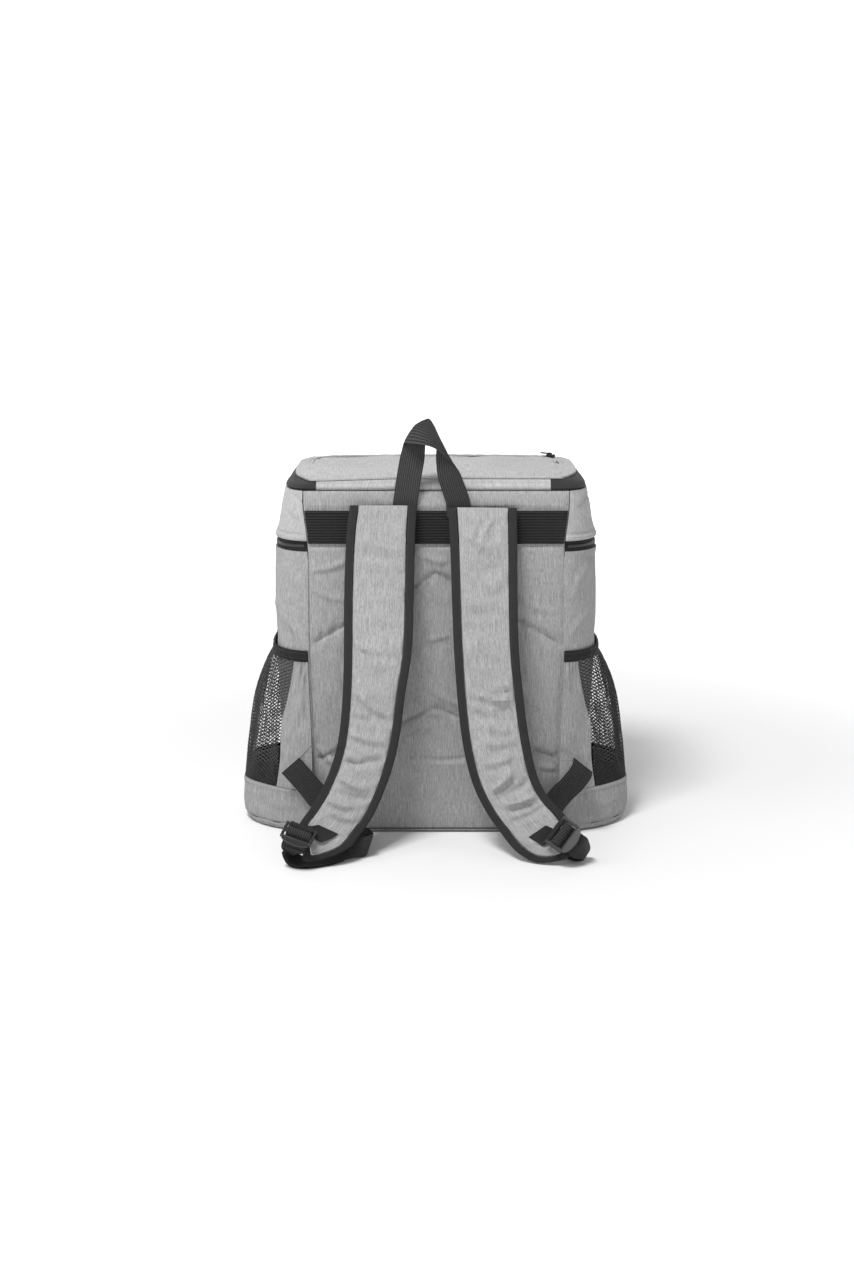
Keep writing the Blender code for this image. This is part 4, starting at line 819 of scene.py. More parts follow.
class Strap:
    """Strap surface: row number along, -1..1 across, with its outward side."""

    def __init__(self, rows, pad_end, floor):
        self.floor = floor
        self.keyed = [[i, r[0], BACK_Y - r[1], r[2], r[3], BACK_Y - r[4], r[5]] for i, r in enumerate(rows)]
        self.last = len(rows) - 1.0
        self.pad_end = pad_end

    def mid(self, u, t):
        e = interp(self.keyed, u, (1, 2, 3, 4, 5, 6))
        a, b = np.array(e[:3]), np.array(e[3:])
        return 0.5 * (a + b) + 0.5 * (b - a) * t

    def frame(self, u):
        u0, u1 = max(0.0, u - 0.12), min(self.last, u + 0.12)
        along = unit(self.mid(u1, 0) - self.mid(u0, 0))
        side = unit(self.mid(u, 1) - self.mid(u, -1))
        n = unit(np.cross(along, side))
        if n[1] > 0:
            n = -n
        return along, side, n

    def half_mm(self, u):
        return 0.5 * np.linalg.norm(self.mid(u, 1) - self.mid(u, -1))

    def step(self):
        """Length of the last row spacings."""
        return 0.5 * np.linalg.norm(self.mid(self.last, 0) - self.mid(self.last - 2, 0))

    def half(self, u, w=0.0):
        """Share of full width left at u, w inside the edge: rounds off at the tip."""
        v, reach = self.last - TIP_ROWS, TIP_ROWS - w / self.step()
        share = 1.0 - w / self.half_mm(u)
        if u <= v:
            return share
        t = min(1.0, (u - v) / reach)
        return share * max(0.0, 1.0 - t ** 2.3) ** 0.5

    def depth(self, u, t):
        """Thickness of the pad."""
        full = 9.0 - 3.6 * abs(t) ** 4
        flat = 3.2
        k = 1.0 / (1.0 + math.exp((u - self.pad_end) * 9.0))
        top = min(1.0, 0.62 + 0.38 * u / 0.5)
        return (flat + (full - flat) * k) * top


CORE_GAP = 0.8


def edge_line(sp, w=0.0):
    """Line w inside the strap's outline: down one side, round the tip, up the other."""
    v, reach = sp.last - TIP_ROWS, TIP_ROWS - w / sp.step()
    us = [(v * i / N_LONG, -1) for i in range(N_LONG)]
    us += [(v + reach * math.sin(math.pi * i / (N_TIP * 2)) * 0.999, (i > N_TIP) - (i < N_TIP))
           for i in range(N_TIP * 2 + 1)]
    us += [(v * i / N_LONG, 1) for i in range(N_LONG - 1, -1, -1)]
    line = [(u, side * sp.half(u, w)) for u, side in us]
    pts = np.array([sp.mid(u, t) for u, t in line])
    nrm = np.array([sp.frame(u)[2] for u, t in line])
    return line, pts, nrm


# z, silhouette half width, depth of the corner, corner power
POCKET = [
    (1.0, 200.0, 52.0, 1.85),
    (4.0, 206.0, 55.0, 1.8),
    (9.0, 209.5, 57.0, 1.75),
    (20.0, 211.5, 58.0, 1.65),
    (38.0, 211.0, 57.5, 1.5),
    (46.0, 210.5, 57.0, 1.45),
    (63.0, 208.2, 57.0, 1.45),
    (98.0, 202.8, 56.0, 1.42),
    (121.0, 199.5, 55.0, 1.40),
    (144.0, 194.6, 53.0, 1.40),
    (165.0, 187.6, 50.0, 1.45),
    (179.0, 180.4, 47.0, 1.6),
    (189.0, 174.6, 46.0, 1.8),
    (194.0, 173.2, 46.0, 1.85),
    (201.0, 173.2, 46.0, 1.85),
]
# z, x of the seam between gusset and net (back and front alike)
NET_EDGE = [(40.0, 172.5), (77.0, 167.0), (119.0, 164.5), (144.0, 157.5), (180.0, 150.0), (201.0, 147.5)]
POLE = np.array((104.0, 0.0))


def polar(pts):
    d = np.array(pts) - POLE
    return np.arctan2(d[:, 1], d[:, 0]), np.hypot(d[:, 0], d[:, 1])


def pocket_curve(z, inset, count=60, cover=3.0):
    """Open plan outline from the back seam round the side to the front seam,
    never nearer to the bag than its own cover."""
    s, w, yb, yf = interp(BODY, z, (1, 2, 3, 4))
    s += 1.4
    xo, dep, power = interp(POCKET, z, (1, 2, 3))
    rx, ry = xo - s, dep
    cyb, cyf = yb + dep, yf - dep
    back = corner(s, cyb, 1, -1, rx, ry, power, count // 2, True)
    front_c = corner(s, cyf, 1, 1, rx, ry, power, count // 2, False)
    side = [(xo, cyb + (cyf - cyb) * f) for f in (0.25, 0.5, 0.75)]
    pts = np.array(back + side + front_c)
    ang, rad = polar(pts)
    bag = plan_half(z, 0.0)
    bag = [(s - 6.0, yb)] + bag + [(s - 6.0, yf)]
    ba, br = polar(bag)
    need = np.interp(ang, ba, br) + cover
    # the radial distance is longer than the true one where the outline slants
    rad = np.maximum(rad, need)
    rad = rad - inset
    return np.stack([POLE[0] + rad * np.cos(ang), POLE[1] + rad * np.sin(ang)], axis=1)


def resample(poly, count):
    seg = np.linalg.norm(np.diff(poly, axis=0), axis=1)
    s = np.concatenate([[0.0], np.cumsum(seg)])
    at = np.linspace(0, s[-1], count)
    return np.stack([np.interp(at, s, poly[:, 0]), np.interp(at, s, poly[:, 1])], axis=1)


def part_of_curve(poly, lo, hi, where):
    """Pieces of the outline: 'all', 'net' between the gusset seams, 'back', 'front'."""
    mid = len(poly) // 2
    x = poly[:, 0]
    ib = np.interp(lo, x[:mid], np.arange(mid))
    jf = len(poly) - 1 - np.interp(hi, x[::-1][:mid], np.arange(mid))
    idx = np.arange(len(poly))

    def at(i):
        return np.array([np.interp(i, idx, poly[:, 0]), np.interp(i, idx, poly[:, 1])])
    if where == 'all':
        return poly
    if where == 'net':
        inner = poly[(idx > ib) & (idx < jf)]
        return np.vstack([at(ib), inner, at(jf)])
    if where == 'back':
        return np.vstack([poly[idx < ib], at(ib)])
    return np.vstack([at(jf), poly[idx > jf]])


def plan_half(z, inset):
    """Right half of the bag's side outline, from back seam to front seam."""
    s, w, yb, yf = interp(BODY, z, (1, 2, 3, 4))
    rx, ry = w - s, CORNER_DEPTH
    b = corner(s, yb + ry, 1, -1, rx - 0.65 * inset, ry - inset, CORNER_POWER, 12, True)
    f = corner(s, yf - ry, 1, 1, rx - 0.65 * inset, ry - inset, CORNER_POWER, 12, False)
    side = [(w - inset + 0.6, yb + ry + (yf - yb - 2 * ry) * k) for k in (0.2, 0.5, 0.8)]
    return b + side + f


def vec(x, d, z):
    """A direction given in x, d, z."""
    return np.array((x, -d, z), float)


def point(x, d, z):
    return np.array((x, BACK_Y - d, z), float)


# middle bar x, d, z; direction along the bars; direction toward the lip
BUCKLES = {
    "left": ((-138.4, 106.5, 36.5), (0.94, 0.158, -0.30), (-0.22, 0.88, -0.42)),
    "right": ((128.0, 98.6, 33.0), (-0.60, 0.27, -0.75), (0.75, 0.51, -0.42)),
}
BAR = 2.4            # thickness of the bars
REAR_AT, MID_AT, FRONT_AT = -10.6, -1.6, 7.4    # middles of the three bars
MID_W = 5.0          # width of the middle bar
RAIL = 15.0          # middle of the side rails from the centre
LOOP_R = 2.6         # radius of the webbing's middle round the rear bar
WEB_T = 1.5
WEB_HALF = 12.2
LIP = 8.6            # reach of the rounded thumb lip past its bar


def buckle_frame(tag):
    at, a, b = BUCKLES[tag]
    a, b, n = frame_from(vec(*a), vec(*b))
    return point(*at), a, b, n


def row_of(mid, half_dir):
    """Ribbon row from its middle and half width vector, in x, d, z."""
    e, f = mid + half_dir, mid - half_dir
    return (e[0], BACK_Y - e[1], e[2], f[0], BACK_Y - f[1], f[2])


def local_rows(tag, table, sign):
    """Rows from places b, n in the buckle's own frame."""
    c, a, b, n = buckle_frame(tag)
    return [row_of(c + b * p + n * q, a * WEB_HALF * sign) for p, q in table]


def arc_rows(tag, at, start, stop, radius, sign, count=6):
    """Rows round a bar at b = at, from angle start to stop (0 = underneath)."""
    out = []
    for i in range(count):
        t = math.radians(start + (stop - start) * i / (count - 1.0))
        out.append((at + radius * math.sin(t), -radius * math.cos(t)))
    return local_rows(tag, out, sign)


# patch: from under the pad's end over the flat tip, then round the rear bar
# outer edge's strap row and place across, inner edge's, height over the strap
PATCH = {
    "left": [(8.92, -0.42, 9.32, 0.35, 1.7), (9.12, -0.60, 10.00, 0.15, 2.0), (9.24, -0.78, 10.36, -0.14, 3.2)],
    "right": [(8.48, -0.38, 8.74, 0.38, 1.7), (8.80, -0.42, 9.20, 0.28, 1.9), (9.02, -0.48, 9.70, 0.20, 2.5)],
}
# adjusting webbing, from the tab: edge x, d, z then the other edge x, d, z
ADJ = {
    "left": [
        (-163.2, 7.4, 69.4, -144.2, 7.4, 86.6),
        (-150.0, 8.6, 54.5, -131.0, 8.6, 71.5),
        (-137.0, 10.5, 39.5, -118.0, 10.0, 56.0),
        (-124.0, 14.0, 25.0, -105.5, 14.0, 41.0),
        (-110.0, 24.0, 10.0, -93.0, 20.0, 29.0),
        (-96.0, 40.0, 1.6, -80.0, 36.0, 22.0),
        (-82.0, 58.0, 1.4, -69.0, 57.0, 25.0),
        (-73.5, 67.0, 1.4, -65.5, 67.5, 25.5),
        (-72.0, 72.5, 1.4, -64.5, 74.0, 25.5),
        (-76.5, 77.0, 1.6, -70.0, 78.5, 24.5),
        (-84.0, 82.0, 2.6, -80.0, 78.5, 21.0),
        (-94.0, 89.5, 3.3, -91.0, 76.0, 13.5),
        (-107.0, 98.5, 3.3, -103.0, 76.0, 8.0),
        (-120.0, 105.0, 3.3, -114.0, 81.5, 5.0),
        (-134.0, 107.5, 3.3, -123.0, 85.5, 4.5),
        (-144.5, 105.0, 3.4, -131.0, 84.5, 4.5),
        (-150.5, 102.5, 7.0, -137.0, 82.5, 5.5),
        (-153.0, 102.5, 13.5, -140.5, 83.5, 8.0),
        (-154.0, 104.5, 20.0, -142.5, 87.5, 10.5),
        (-154.5, 107.0, 26.0, -143.5, 96.5, 13.0),
    ],
    "right": [
        (165.5, 7.4, 70.6, 145.6, 7.4, 86.8),
        (163.5, 9.4, 63.5, 143.0, 9.0, 77.0),
        (154.0, 11.0, 51.0, 131.0, 10.6, 62.0),
        (143.0, 12.0, 40.0, 122.5, 12.0, 54.0),
        (133.0, 17.0, 27.0, 115.0, 17.0, 44.0),
        (133.5, 28.0, 12.5, 114.0, 29.0, 28.0),
        (139.5, 40.0, 4.2, 119.0, 44.0, 16.0),
        (144.0, 54.0, 3.4, 124.0, 60.0, 8.0),
        (147.0, 64.0, 3.4, 130.0, 74.0, 4.4),
        (151.0, 71.0, 3.8, 137.5, 84.0, 3.6),
        (154.0, 76.0, 7.5, 143.5, 91.0, 4.6),
        (155.2, 80.0, 15.0, 146.5, 97.0, 7.5),
    ],
}
# where the load layer joins the buckle, round the middle bar, and where the
# tail leaves it: b, n
TO_BUCKLE = {
    "left": [(12.0, -9.5), (7.5, -7.2), (2.5, -6.2), (-2.5, -5.6), (-5.4, -3.4)],
    "right": [(17.5, -12.5), (13.5, -7.6), (9.0, -6.4), (4.5, -5.8), (0.0, -5.3), (-3.4, -4.6), (-5.6, -2.9)],
}
WRAP = [(-6.1, -0.6), (-5.7, 1.2), (-4.3, 2.8), (-2.5, 3.5), (-0.7, 3.5), (1.1, 2.8), (2.5, 1.2), (2.9, -0.6)]
FROM_BUCKLE = {
    "left": [(3.5, -2.6), (6.5, -3.8), (11.0, -4.8)],
    "right": [(3.5, -2.6), (6.5, -3.6), (10.5, -4.2), (15.0, -5.6), (19.0, -10.0)],
}
SIGN = {"left": -1, "right": -1}
# last row of the table over which the free tail lies outside the webbing
TAIL_TO = {"left": 10.8, "right": 8.6}
TAIL_GAP = 2.2


def adjuster_rows(tag):
    c, a, b, n = buckle_frame(tag)
    rows = list(ADJ[tag])
    n_turn = len(rows)
    sg = SIGN[tag]
    rows += local_rows(tag, TO_BUCKLE[tag], sg)
    rows += local_rows(tag, WRAP, sg)
    rows += local_rows(tag, FROM_BUCKLE[tag], sg)
    keyed = [[i] + list(r) for i, r in enumerate(ADJ[tag])]
    inside = c - n * 12.0 - b * 14.0
    u = n_turn - 1.0
    while u >= TAIL_TO[tag] - 1e-6:
        e = interp(keyed, u, (1, 2, 3, 4, 5, 6))
        e2 = interp(keyed, u - 0.05, (1, 2, 3, 4, 5, 6))
        pf, pk = point(*e[:3]), point(*e[3:])
        along = 0.5 * (pf + pk) - 0.5 * (point(*e2[:3]) + point(*e2[3:]))
        m = unit(np.cross(along, pf - pk))
        if np.dot(m, inside - 0.5 * (pf + pk)) > 0:
            m = -m
        f2, k2 = pf + m * TAIL_GAP, pk + m * TAIL_GAP
        rows.append((f2[0], BACK_Y - f2[1], max(f2[2], 1.1), k2[0], BACK_Y - k2[1], max(k2[2], 1.1)))
        u -= 0.8
    return rows


zo, zi = [], []
for a, b, c, d in zip(trim_start(path_lo), trim_start(path_hi), trim_start(in_lo), trim_start(in_hi)):
    zo.append([(a[0], a[1], ZIP_LOW + GAP), (b[0], b[1], ZIP_HIGH - 0.2)])
    zi.append([(c[0], c[1], ZIP_LOW + GAP), (d[0], d[1], ZIP_HIGH - 0.2)])

top, low = [], []
for k in (SLIT_OUT + 0.5, 0.5 * (SLIT_OUT + SLIT_IN), SLIT_IN - 0.5):
    row = u_path(k)[SLIT_FROM:-SLIT_FROM]
    row[0] = (row[0][0], row[0][1] + 0.8)
    row[-1] = (row[-1][0], row[-1][1] + 0.8)
    top.append([(x, y, lid_height(x, y) + 1.4) for x, y in row])
    low.append([(x, y, lid_height(x, y)) for x, y in row])


def patch_rows(tag):
    sp = sp_l if tag == "left" else sp_r
    rows = []
    for ua, ta, ub, tb, up in PATCH[tag]:
        e = sp.mid(ua, ta) + sp.frame(ua)[2] * up
        f = sp.mid(ub, tb) + sp.frame(ub)[2] * up
        rows.append((e[0], BACK_Y - e[1], e[2], f[0], BACK_Y - f[1], f[2]))
    return rows + arc_rows(tag, REAR_AT, -20, 215, LOOP_R, -1)

# seam point and tip point of each tab (x, d of the rear face, z), top row to bottom row
TABS = {
    "left": [
        ((-131.0, 4.0, 101.0), (-143.5, 4.2, 87.5)),
        ((-130.8, 4.2, 76.0), (-150.5, 4.2, 81.0)),
        ((-130.6, 5.6, 52.0), (-157.5, 4.2, 75.0)),
        ((-130.4, 6.0, 28.0), (-162.5, 4.2, 70.5)),
    ],
    "right": [
        ((131.0, 4.0, 97.0), (142.6, 4.2, 87.6)),
        ((130.8, 4.2, 76.0), (150.0, 4.2, 82.0)),
        ((130.6, 5.6, 50.0), (157.5, 4.2, 76.5)),
        ((130.4, 6.0, 24.0), (163.5, 4.2, 72.0)),
    ],
}

# ------------------------------------------------------------ stage and light
def stage():
    """Pale floor running up into a wall far behind, in one smooth sweep, with a painted glow that grows away from the
    bag.
    """
    prof = [(-6.0, 0.0)] + [(y, 0.0) for y in (-3.0, 0.0, 2.5)]
    prof += [(2.5 + 2.0 * math.sin(a), 2.0 - 2.0 * math.cos(a)) for a in [math.pi / 2 * i / 10 for i in range(1, 11)]]
    prof += [(4.5, 6.0)]
    verts = [(x, y, z) for y, z in prof for x in (-6.0, 6.0)]
    faces = [(2 * i, 2 * i + 1, 2 * i + 3, 2 * i + 2) for i in range(len(prof) - 1)]
    me = bpy.data.meshes.new("studio_floor")
    me.from_pydata(verts, [], faces)
    me.polygons.foreach_set("use_smooth", np.ones(len(me.polygons), dtype=bool))
    ob = bpy.data.objects.new("studio_floor", me)
    bpy.context.scene.collection.objects.link(ob)
    m = Mat("studio_paper", 0.9, spec=0.1)
    m.b.inputs["Base Color"].default_value = (0.80, 0.80, 0.80, 1.0)
    m.b.inputs["Emission Color"].default_value = (1.0, 1.0, 1.0, 1.0)
    # painted glow: the paper emits light of its own, none near the bag and more the farther it is from it
    far = m.put("ShaderNodeVectorMath")
    far.operation = 'LENGTH'
    m.m.node_tree.links.new(m.put("ShaderNodeTexCoord").outputs["Object"], far.inputs[0])
    glow = m.put("ShaderNodeMapRange")
    glow.interpolation_type = 'SMOOTHSTEP'
    for k, v in (("From Min", 0.30), ("From Max", 1.6), ("To Min", 0.0), ("To Max", 0.85)):
        glow.inputs[k].default_value = v
    m.m.node_tree.links.new(far.outputs["Value"], glow.inputs["Value"])
    m.m.node_tree.links.new(glow.outputs["Result"], m.b.inputs["Emission Strength"])
    me.materials.append(m.m)


def area_light(name, at, aim, size, power, size_y=None):
    d = bpy.data.lights.new(name, 'AREA')
    d.energy = power
    d.shape = 'RECTANGLE'
    d.size, d.size_y = size, size_y or size
    ob = bpy.data.objects.new(name, d)
    ob.location = at
    v = np.array(aim, float) - np.array(at, float)
    yaw = math.atan2(v[0], v[1])
    pitch = math.atan2(v[2], math.hypot(v[0], v[1]))
    ob.rotation_euler = (math.pi / 2 + pitch, 0.0, -yaw)
    bpy.context.scene.collection.objects.link(ob)


stage()
world = bpy.data.worlds.new("studio_air")
world.use_nodes = True
world.node_tree.nodes["Background"].inputs["Color"].default_value = (1.0, 1.0, 1.0, 1.0)
world.node_tree.nodes["Background"].inputs["Strength"].default_value = 0.31
bpy.context.scene.world = world
area_light("top_soft", (-0.50, -0.95, 2.0), (0.0, -0.05, 0.15), 0.6, 41.0, 0.5)
area_light("left_soft", (-1.6, -0.9, 1.2), (0.0, -0.05, 0.18), 0.8, 7.0, 1.2)
area_light("low_fill", (0.0, -1.55, 0.32), (0.0, -0.1, 0.08), 0.9, 2.2, 0.2)
area_light("right_soft", (1.6, -0.6, 1.0), (0.0, -0.05, 0.18), 0.8, 3.0, 1.2)


# --------------------------------------------------------------------- body
def fine_rings(rows, ring):
    return np.array([[(x, y, z) for x, y, z in ring(*r)] for r in rows])


def ring_normals(g):
    """Outward level normals of a stack of closed rings."""
    t = np.roll(g, -1, axis=1) - np.roll(g, 1, axis=1)
    n = np.stack([t[..., 1], -t[..., 0], np.zeros(g.shape[:2])], axis=-1)
    n /= np.maximum(np.linalg.norm(n, axis=2, keepdims=True), 1e-9)
    return n


def ring_uv(g):
    seg = np.linalg.norm(np.diff(g, axis=1), axis=2)
    u = np.concatenate([np.zeros((len(g), 1)), np.cumsum(seg, axis=1)], axis=1)
    return np.stack([u, g[..., 2]], axis=-1)


PLAN = dict(n_back=7, n_cor=20, n_side=18, n_front=28)


def shell_ring(z, inset, recess, zz=None, sx=1.0, sy=1.0):
    return [(x * sx, y * sy, z if zz is None else zz) for x, y in plan(z, inset, recess, **PLAN)]


def body_piece():
    outer = [(0.0, 3.0, 0.05, 0.0, 0.97, 0.96), (0.0, 1.0, 0.05, 0.15, 0.985, 0.98), (0.0, 0.0, 0.05, 0.8),
             (1.8, 0.0, 0.05), (3.6, 0.0, 0.05)]
    zs = [4.6, 6.0, 9.0, 12.0] + list(np.arange(16.0, 300.0, 3.4)) + [301.0, 304.0, ZIP_LOW]
    outer += [(float(z), 0.0, PAD) for z in zs]
    g = fine_rings(outer, shell_ring)
    n = ring_normals(g)
    z = g[..., 2]
    side = np.clip((np.abs(g[..., 0]) - 134.0) / 12.0, 0, 1) + np.clip((g[..., 1] - 40.0) / 20.0, 0, 1)
    side = np.clip(side, 0, 1)
    ends = np.clip((z - 6.0) / 20.0, 0, 1) * np.clip((303.0 - z) / 14.0, 0, 1)
    soft = noise3(g / np.array((70.0, 70.0, 95.0)), 1.0)
    fine = crumple(g, 46.0, 2.0, (1, 1, 1.5))
    down = -np.clip(1.1 + 1.5 * soft + 0.55 * fine, 0.0, 4.0) * side * ends
    # the cloth is drawn in a little above the pockets and under the zip
    down -= side * 0.9 * np.exp(-((z - 214.0) / 12.0) ** 2)
    down += 0.35 * side * np.sin(z / 4.4 + 5 * noise3(g / 40.0, 6.0)) * np.exp(-((303.0 - z) / 16.0) ** 2)
    px = photo_px(g)
    vis = g[..., 1] < 20.0
    down += np.where(vis, 2.4 * side * fold_lines(px, BODY_FOLDS), 0.0)
    g = g + n * np.minimum(down, 0.4)[..., None]
    p = Piece("bag_body")
    wall = fine_rings([(ZIP_LOW,), (296.0,), (250.0,), (196.0,), (107.0,), (60.0,), (24.0,)], fine_inner)
    floor = wall[-1] * np.array((0.95, 0.93, 0.0)) + np.array((0, 0, 9.0))
    rings = np.concatenate([g, wall, floor[None]])
    uv = ring_uv(rings)
    p.sheet(rings, None, M_BODY, uv, wrap=True, capped=True)
    # seam welts down the front corners
    for sgn in (-1, 1):
        k = 6 + 20 + 18 + 12 if sgn > 0 else None
        j = np.argmin(np.abs(g[30, :, 0] - sgn * 146.0) + 1000.0 * (g[30, :, 1] < 0))
        line = g[8:-2, j] + n[8:-2, j] * 0.15
        p.tube(line, 0.75, M_BODY, 6)
        off = g[8:-2, j + 2] + n[8:-2, j + 2] * 0.1
        p.stitches(off, n[8:-2, j + 2], M_GREYTHREAD)
    ob = p.make("body", angle=60)
    return ob, g, n


def fine_inner(z):
    pts = plan(z, WALL, PAD - 1.0, **PLAN)
    s = interp(BODY, z, (1,))[0]
    out = []
    for x, y in pts:
        x2 = x * (s + 2.0) / (s + GAP) if abs(x) <= s + GAP + 1e-6 and y < 0 else x
        out.append((x2, max(y, BACK_Y + PAD + WALL), z))
    return out


def upper_piece():
    base = [(316.0, 0.2), (317.5, -1.2), (320.5, -1.2), (322.5, 0.6), (325.0, 0.1), (334.0, 0.3), (348.0, 0.3), (360.0, 0.3), (367.6, 1.4)]
    bz, bk = [b[0] for b in base], [b[1] for b in base]
    zs = [316.0, 316.5, 317.2, 318.2, 319.0, 319.8, 320.8, 321.6, 322.3, 323.2, 324.5, 326.0] + list(np.arange(328.0, 366.0, 2.2)) + [366.2, 367.0, 367.6]
    ks = np.interp(zs, bz, bk) + 0.35 * np.exp(-((np.array(zs) - 319.0) / 0.5) ** 2)
    g = fine_rings([(float(z), float(k), PAD) for z, k in zip(zs, ks)], shell_ring)
    n = ring_normals(g)
    z = g[..., 2]
    side = np.clip((np.abs(g[..., 0]) - 134.0) / 8.0, 0, 1) + np.clip((g[..., 1] - 40.0) / 20.0, 0, 1)
    side = np.clip(side, 0, 1)
    ends = np.clip((z - 323.0) / 6.0, 0, 1) * np.clip((368.5 - z) / 6.0, 0, 1)
    down = -np.clip(0.5 + 1.0 * noise3(g / np.array((45.0, 45.0, 30.0)), 21.0) + 0.8 * crumple(g, 34.0, 22.0, (1, 1, 1.3)), 0.0, 2.4) * side * ends
    vis = g[..., 1] < 20.0
    down += np.where(vis, 2.0 * side * ends * fold_lines(photo_px(g), UPPER_FOLDS), 0.0)
    g = g + n * np.minimum(down, 0.6)[..., None]
    inner = []
    for zi in (367.6, 350.0, 334.0, 316.0):
        s = interp(BODY, zi, (1,))[0]
        row = []
        for x, y in plan(zi, UP_WALL, PAD - 1.0, **PLAN):
            x2 = x * (s + 2.0) / (s + GAP) if abs(x) <= s + GAP + 1e-6 and y < 0 else x
            row.append((x2, max(y, BACK_Y + PAD + UP_WALL), zi))
        inner.append(row)
    rings = np.concatenate([g, np.array(inner)])
    p = Piece("bag_upper")
    p.sheet(rings, None, M_LIGHT, ring_uv(rings), wrap=True)
    # stitching above the folded edge, round the sides and the front
    r = int(np.argmin(np.abs(np.array(zs) - 324.5)))
    mid = (g[r, :, 1] > -92.0) | (np.abs(g[r, :, 0]) > 136.5)
    idx = np.where(mid)[0]
    p.stitches(g[r, idx] + n[r, idx] * 0.05, n[r, idx], M_GREYTHREAD)
    ob = p.make("upper_section", angle=60)


# --------------------------------------------------------------- back panel
def panel_piece():
    nx, zs = 132, np.concatenate([[5.4, 6.4, 8.0, 10.0], np.arange(12.0, 358.0, 2.1), [360.0, 362.5, 364.5, 366.2, 367.4]])
    front, rear = [], []
    for z in zs:
        s = interp(BODY, z, (1,))[0] - 0.1
        xs = np.linspace(-s, s, nx + 1)
        front.append([(x, BACK_Y - panel_front(x, z), z) for x in xs])
        rear.append([(x, BACK_Y + PAD - GAP, z) for x in xs])
    f, r = np.array(front), np.array(rear)
    px = photo_px(f)
    x, z = f[..., 0], f[..., 2]
    edge = np.clip((132.0 - np.abs(x)) / 10.0, 0, 1) * np.clip((z - 7.0) / 12.0, 0, 1) * np.clip((366.0 - z) / 8.0, 0, 1)
    band = 1.0 - np.clip((z - 306.0) / 6.0, 0, 1) * np.clip((354.0 - z) / 5.0, 0, 1)
    wave = 0.9 * noise3(f / np.array((60.0, 60.0, 80.0)), 31.0) + 0.5 * crumple(f, 38.0, 32.0, (1, 1, 1.2))
    # puckers running away from the sewn chevrons
    pucker = np.zeros(x.shape)
    seam = np.zeros(x.shape)
    for apex, side, deep, half in CHEVRONS:
        zc = apex + (side - apex) * np.abs(x) / 131.0
        dist = z - zc
        pucker += 0.55 * np.sin(x / 3.1 + 3.0 * noise3(f / 22.0, 33.0)) * np.exp(-(np.abs(dist) - 5.0) ** 2 / 30.0)
        seam += 0.7 * np.exp(-((dist + 3.0) / 1.5) ** 2) - 1.5 * np.exp(-(dist / 1.3) ** 2)
    side_seam = 0.5 * np.sin(z / 3.3 + 3.0 * noise3(f / 25.0, 34.0)) * np.exp(-((131.0 - np.abs(x)) / 7.0) ** 2)
    push = edge * band * (1.5 * wave + 1.2 * pucker + seam + side_seam + 2.3 * fold_lines(px, PANEL_FOLDS))
    push = np.clip(push, -3.4, 2.6)
    f[..., 1] -= push
    p = Piece("bag_back_panel")
    p.sheet(f, r, M_PANEL, np.stack([x + 140.0, z], axis=-1))
    for apex, side, deep, half in CHEVRONS:
        for off in (-2.2, 2.2):
            line = []
            for xx in np.linspace(-128.0, 128.0, 120):
                zc = apex + (side - apex) * abs(xx) / 131.0 + off
                j = int(round((xx + 131.0) / 262.0 * nx))
                i = int(np.argmin(np.abs(zs - zc)))
                line.append((xx, f[i, min(max(j, 0), nx), 1] - 0.02, zc))
            p.stitches(line, np.tile((0.0, -1.0, 0.0), (len(line), 1)), M_GREYTHREAD, 3.2, 0.6, 0.22, 0.05)
    for sgn in (-1, 1):
        line = [(sgn * (interp(BODY, z, (1,))[0] + 0.25), BACK_Y + 1.3 + 0.25 * math.sin(z / 6.0), z) for z in np.arange(9.0, 303.0, 3.0)]
        p.tube(line, 0.62, M_PANEL, 6)
    ob = p.make("back_panel", angle=60)


def band_piece():
    outer, inner, uv = [], [], []
    for z in np.linspace(BAND_LOW + 0.4, BAND_HIGH - 0.4, 34):
        s = interp(BODY, z, (1,))[0] - 0.8
        a, b, c = [], [], []
        for x in np.linspace(-s, s, 120):
            rib = 0.22 * math.sin(2 * math.pi * (z - BAND_LOW) / 2.9)
            soft = 0.35 * noise3(np.array((x / 30.0, z / 18.0, 4.0)), 41.0)
            a.append((x, BACK_Y - 1.0 - rib - soft, z))
            b.append((x, BACK_Y + 0.55, z))
            c.append((x + 140.0, z - BAND_LOW))
        outer.append(a)
        inner.append(b)
        uv.append(c)
    p = Piece("yoke_webbing")
    o = np.array(outer)
    p.sheet(o, inner, M_BAND, np.array(uv))
    for i in (1, -2):
        p.stitches(o[i] + np.array((0, -0.05, 0)), np.tile((0.0, -1.0, 0.0), (o.shape[1], 1)), M_THREAD, 3.6)
    p.make("yoke_band")


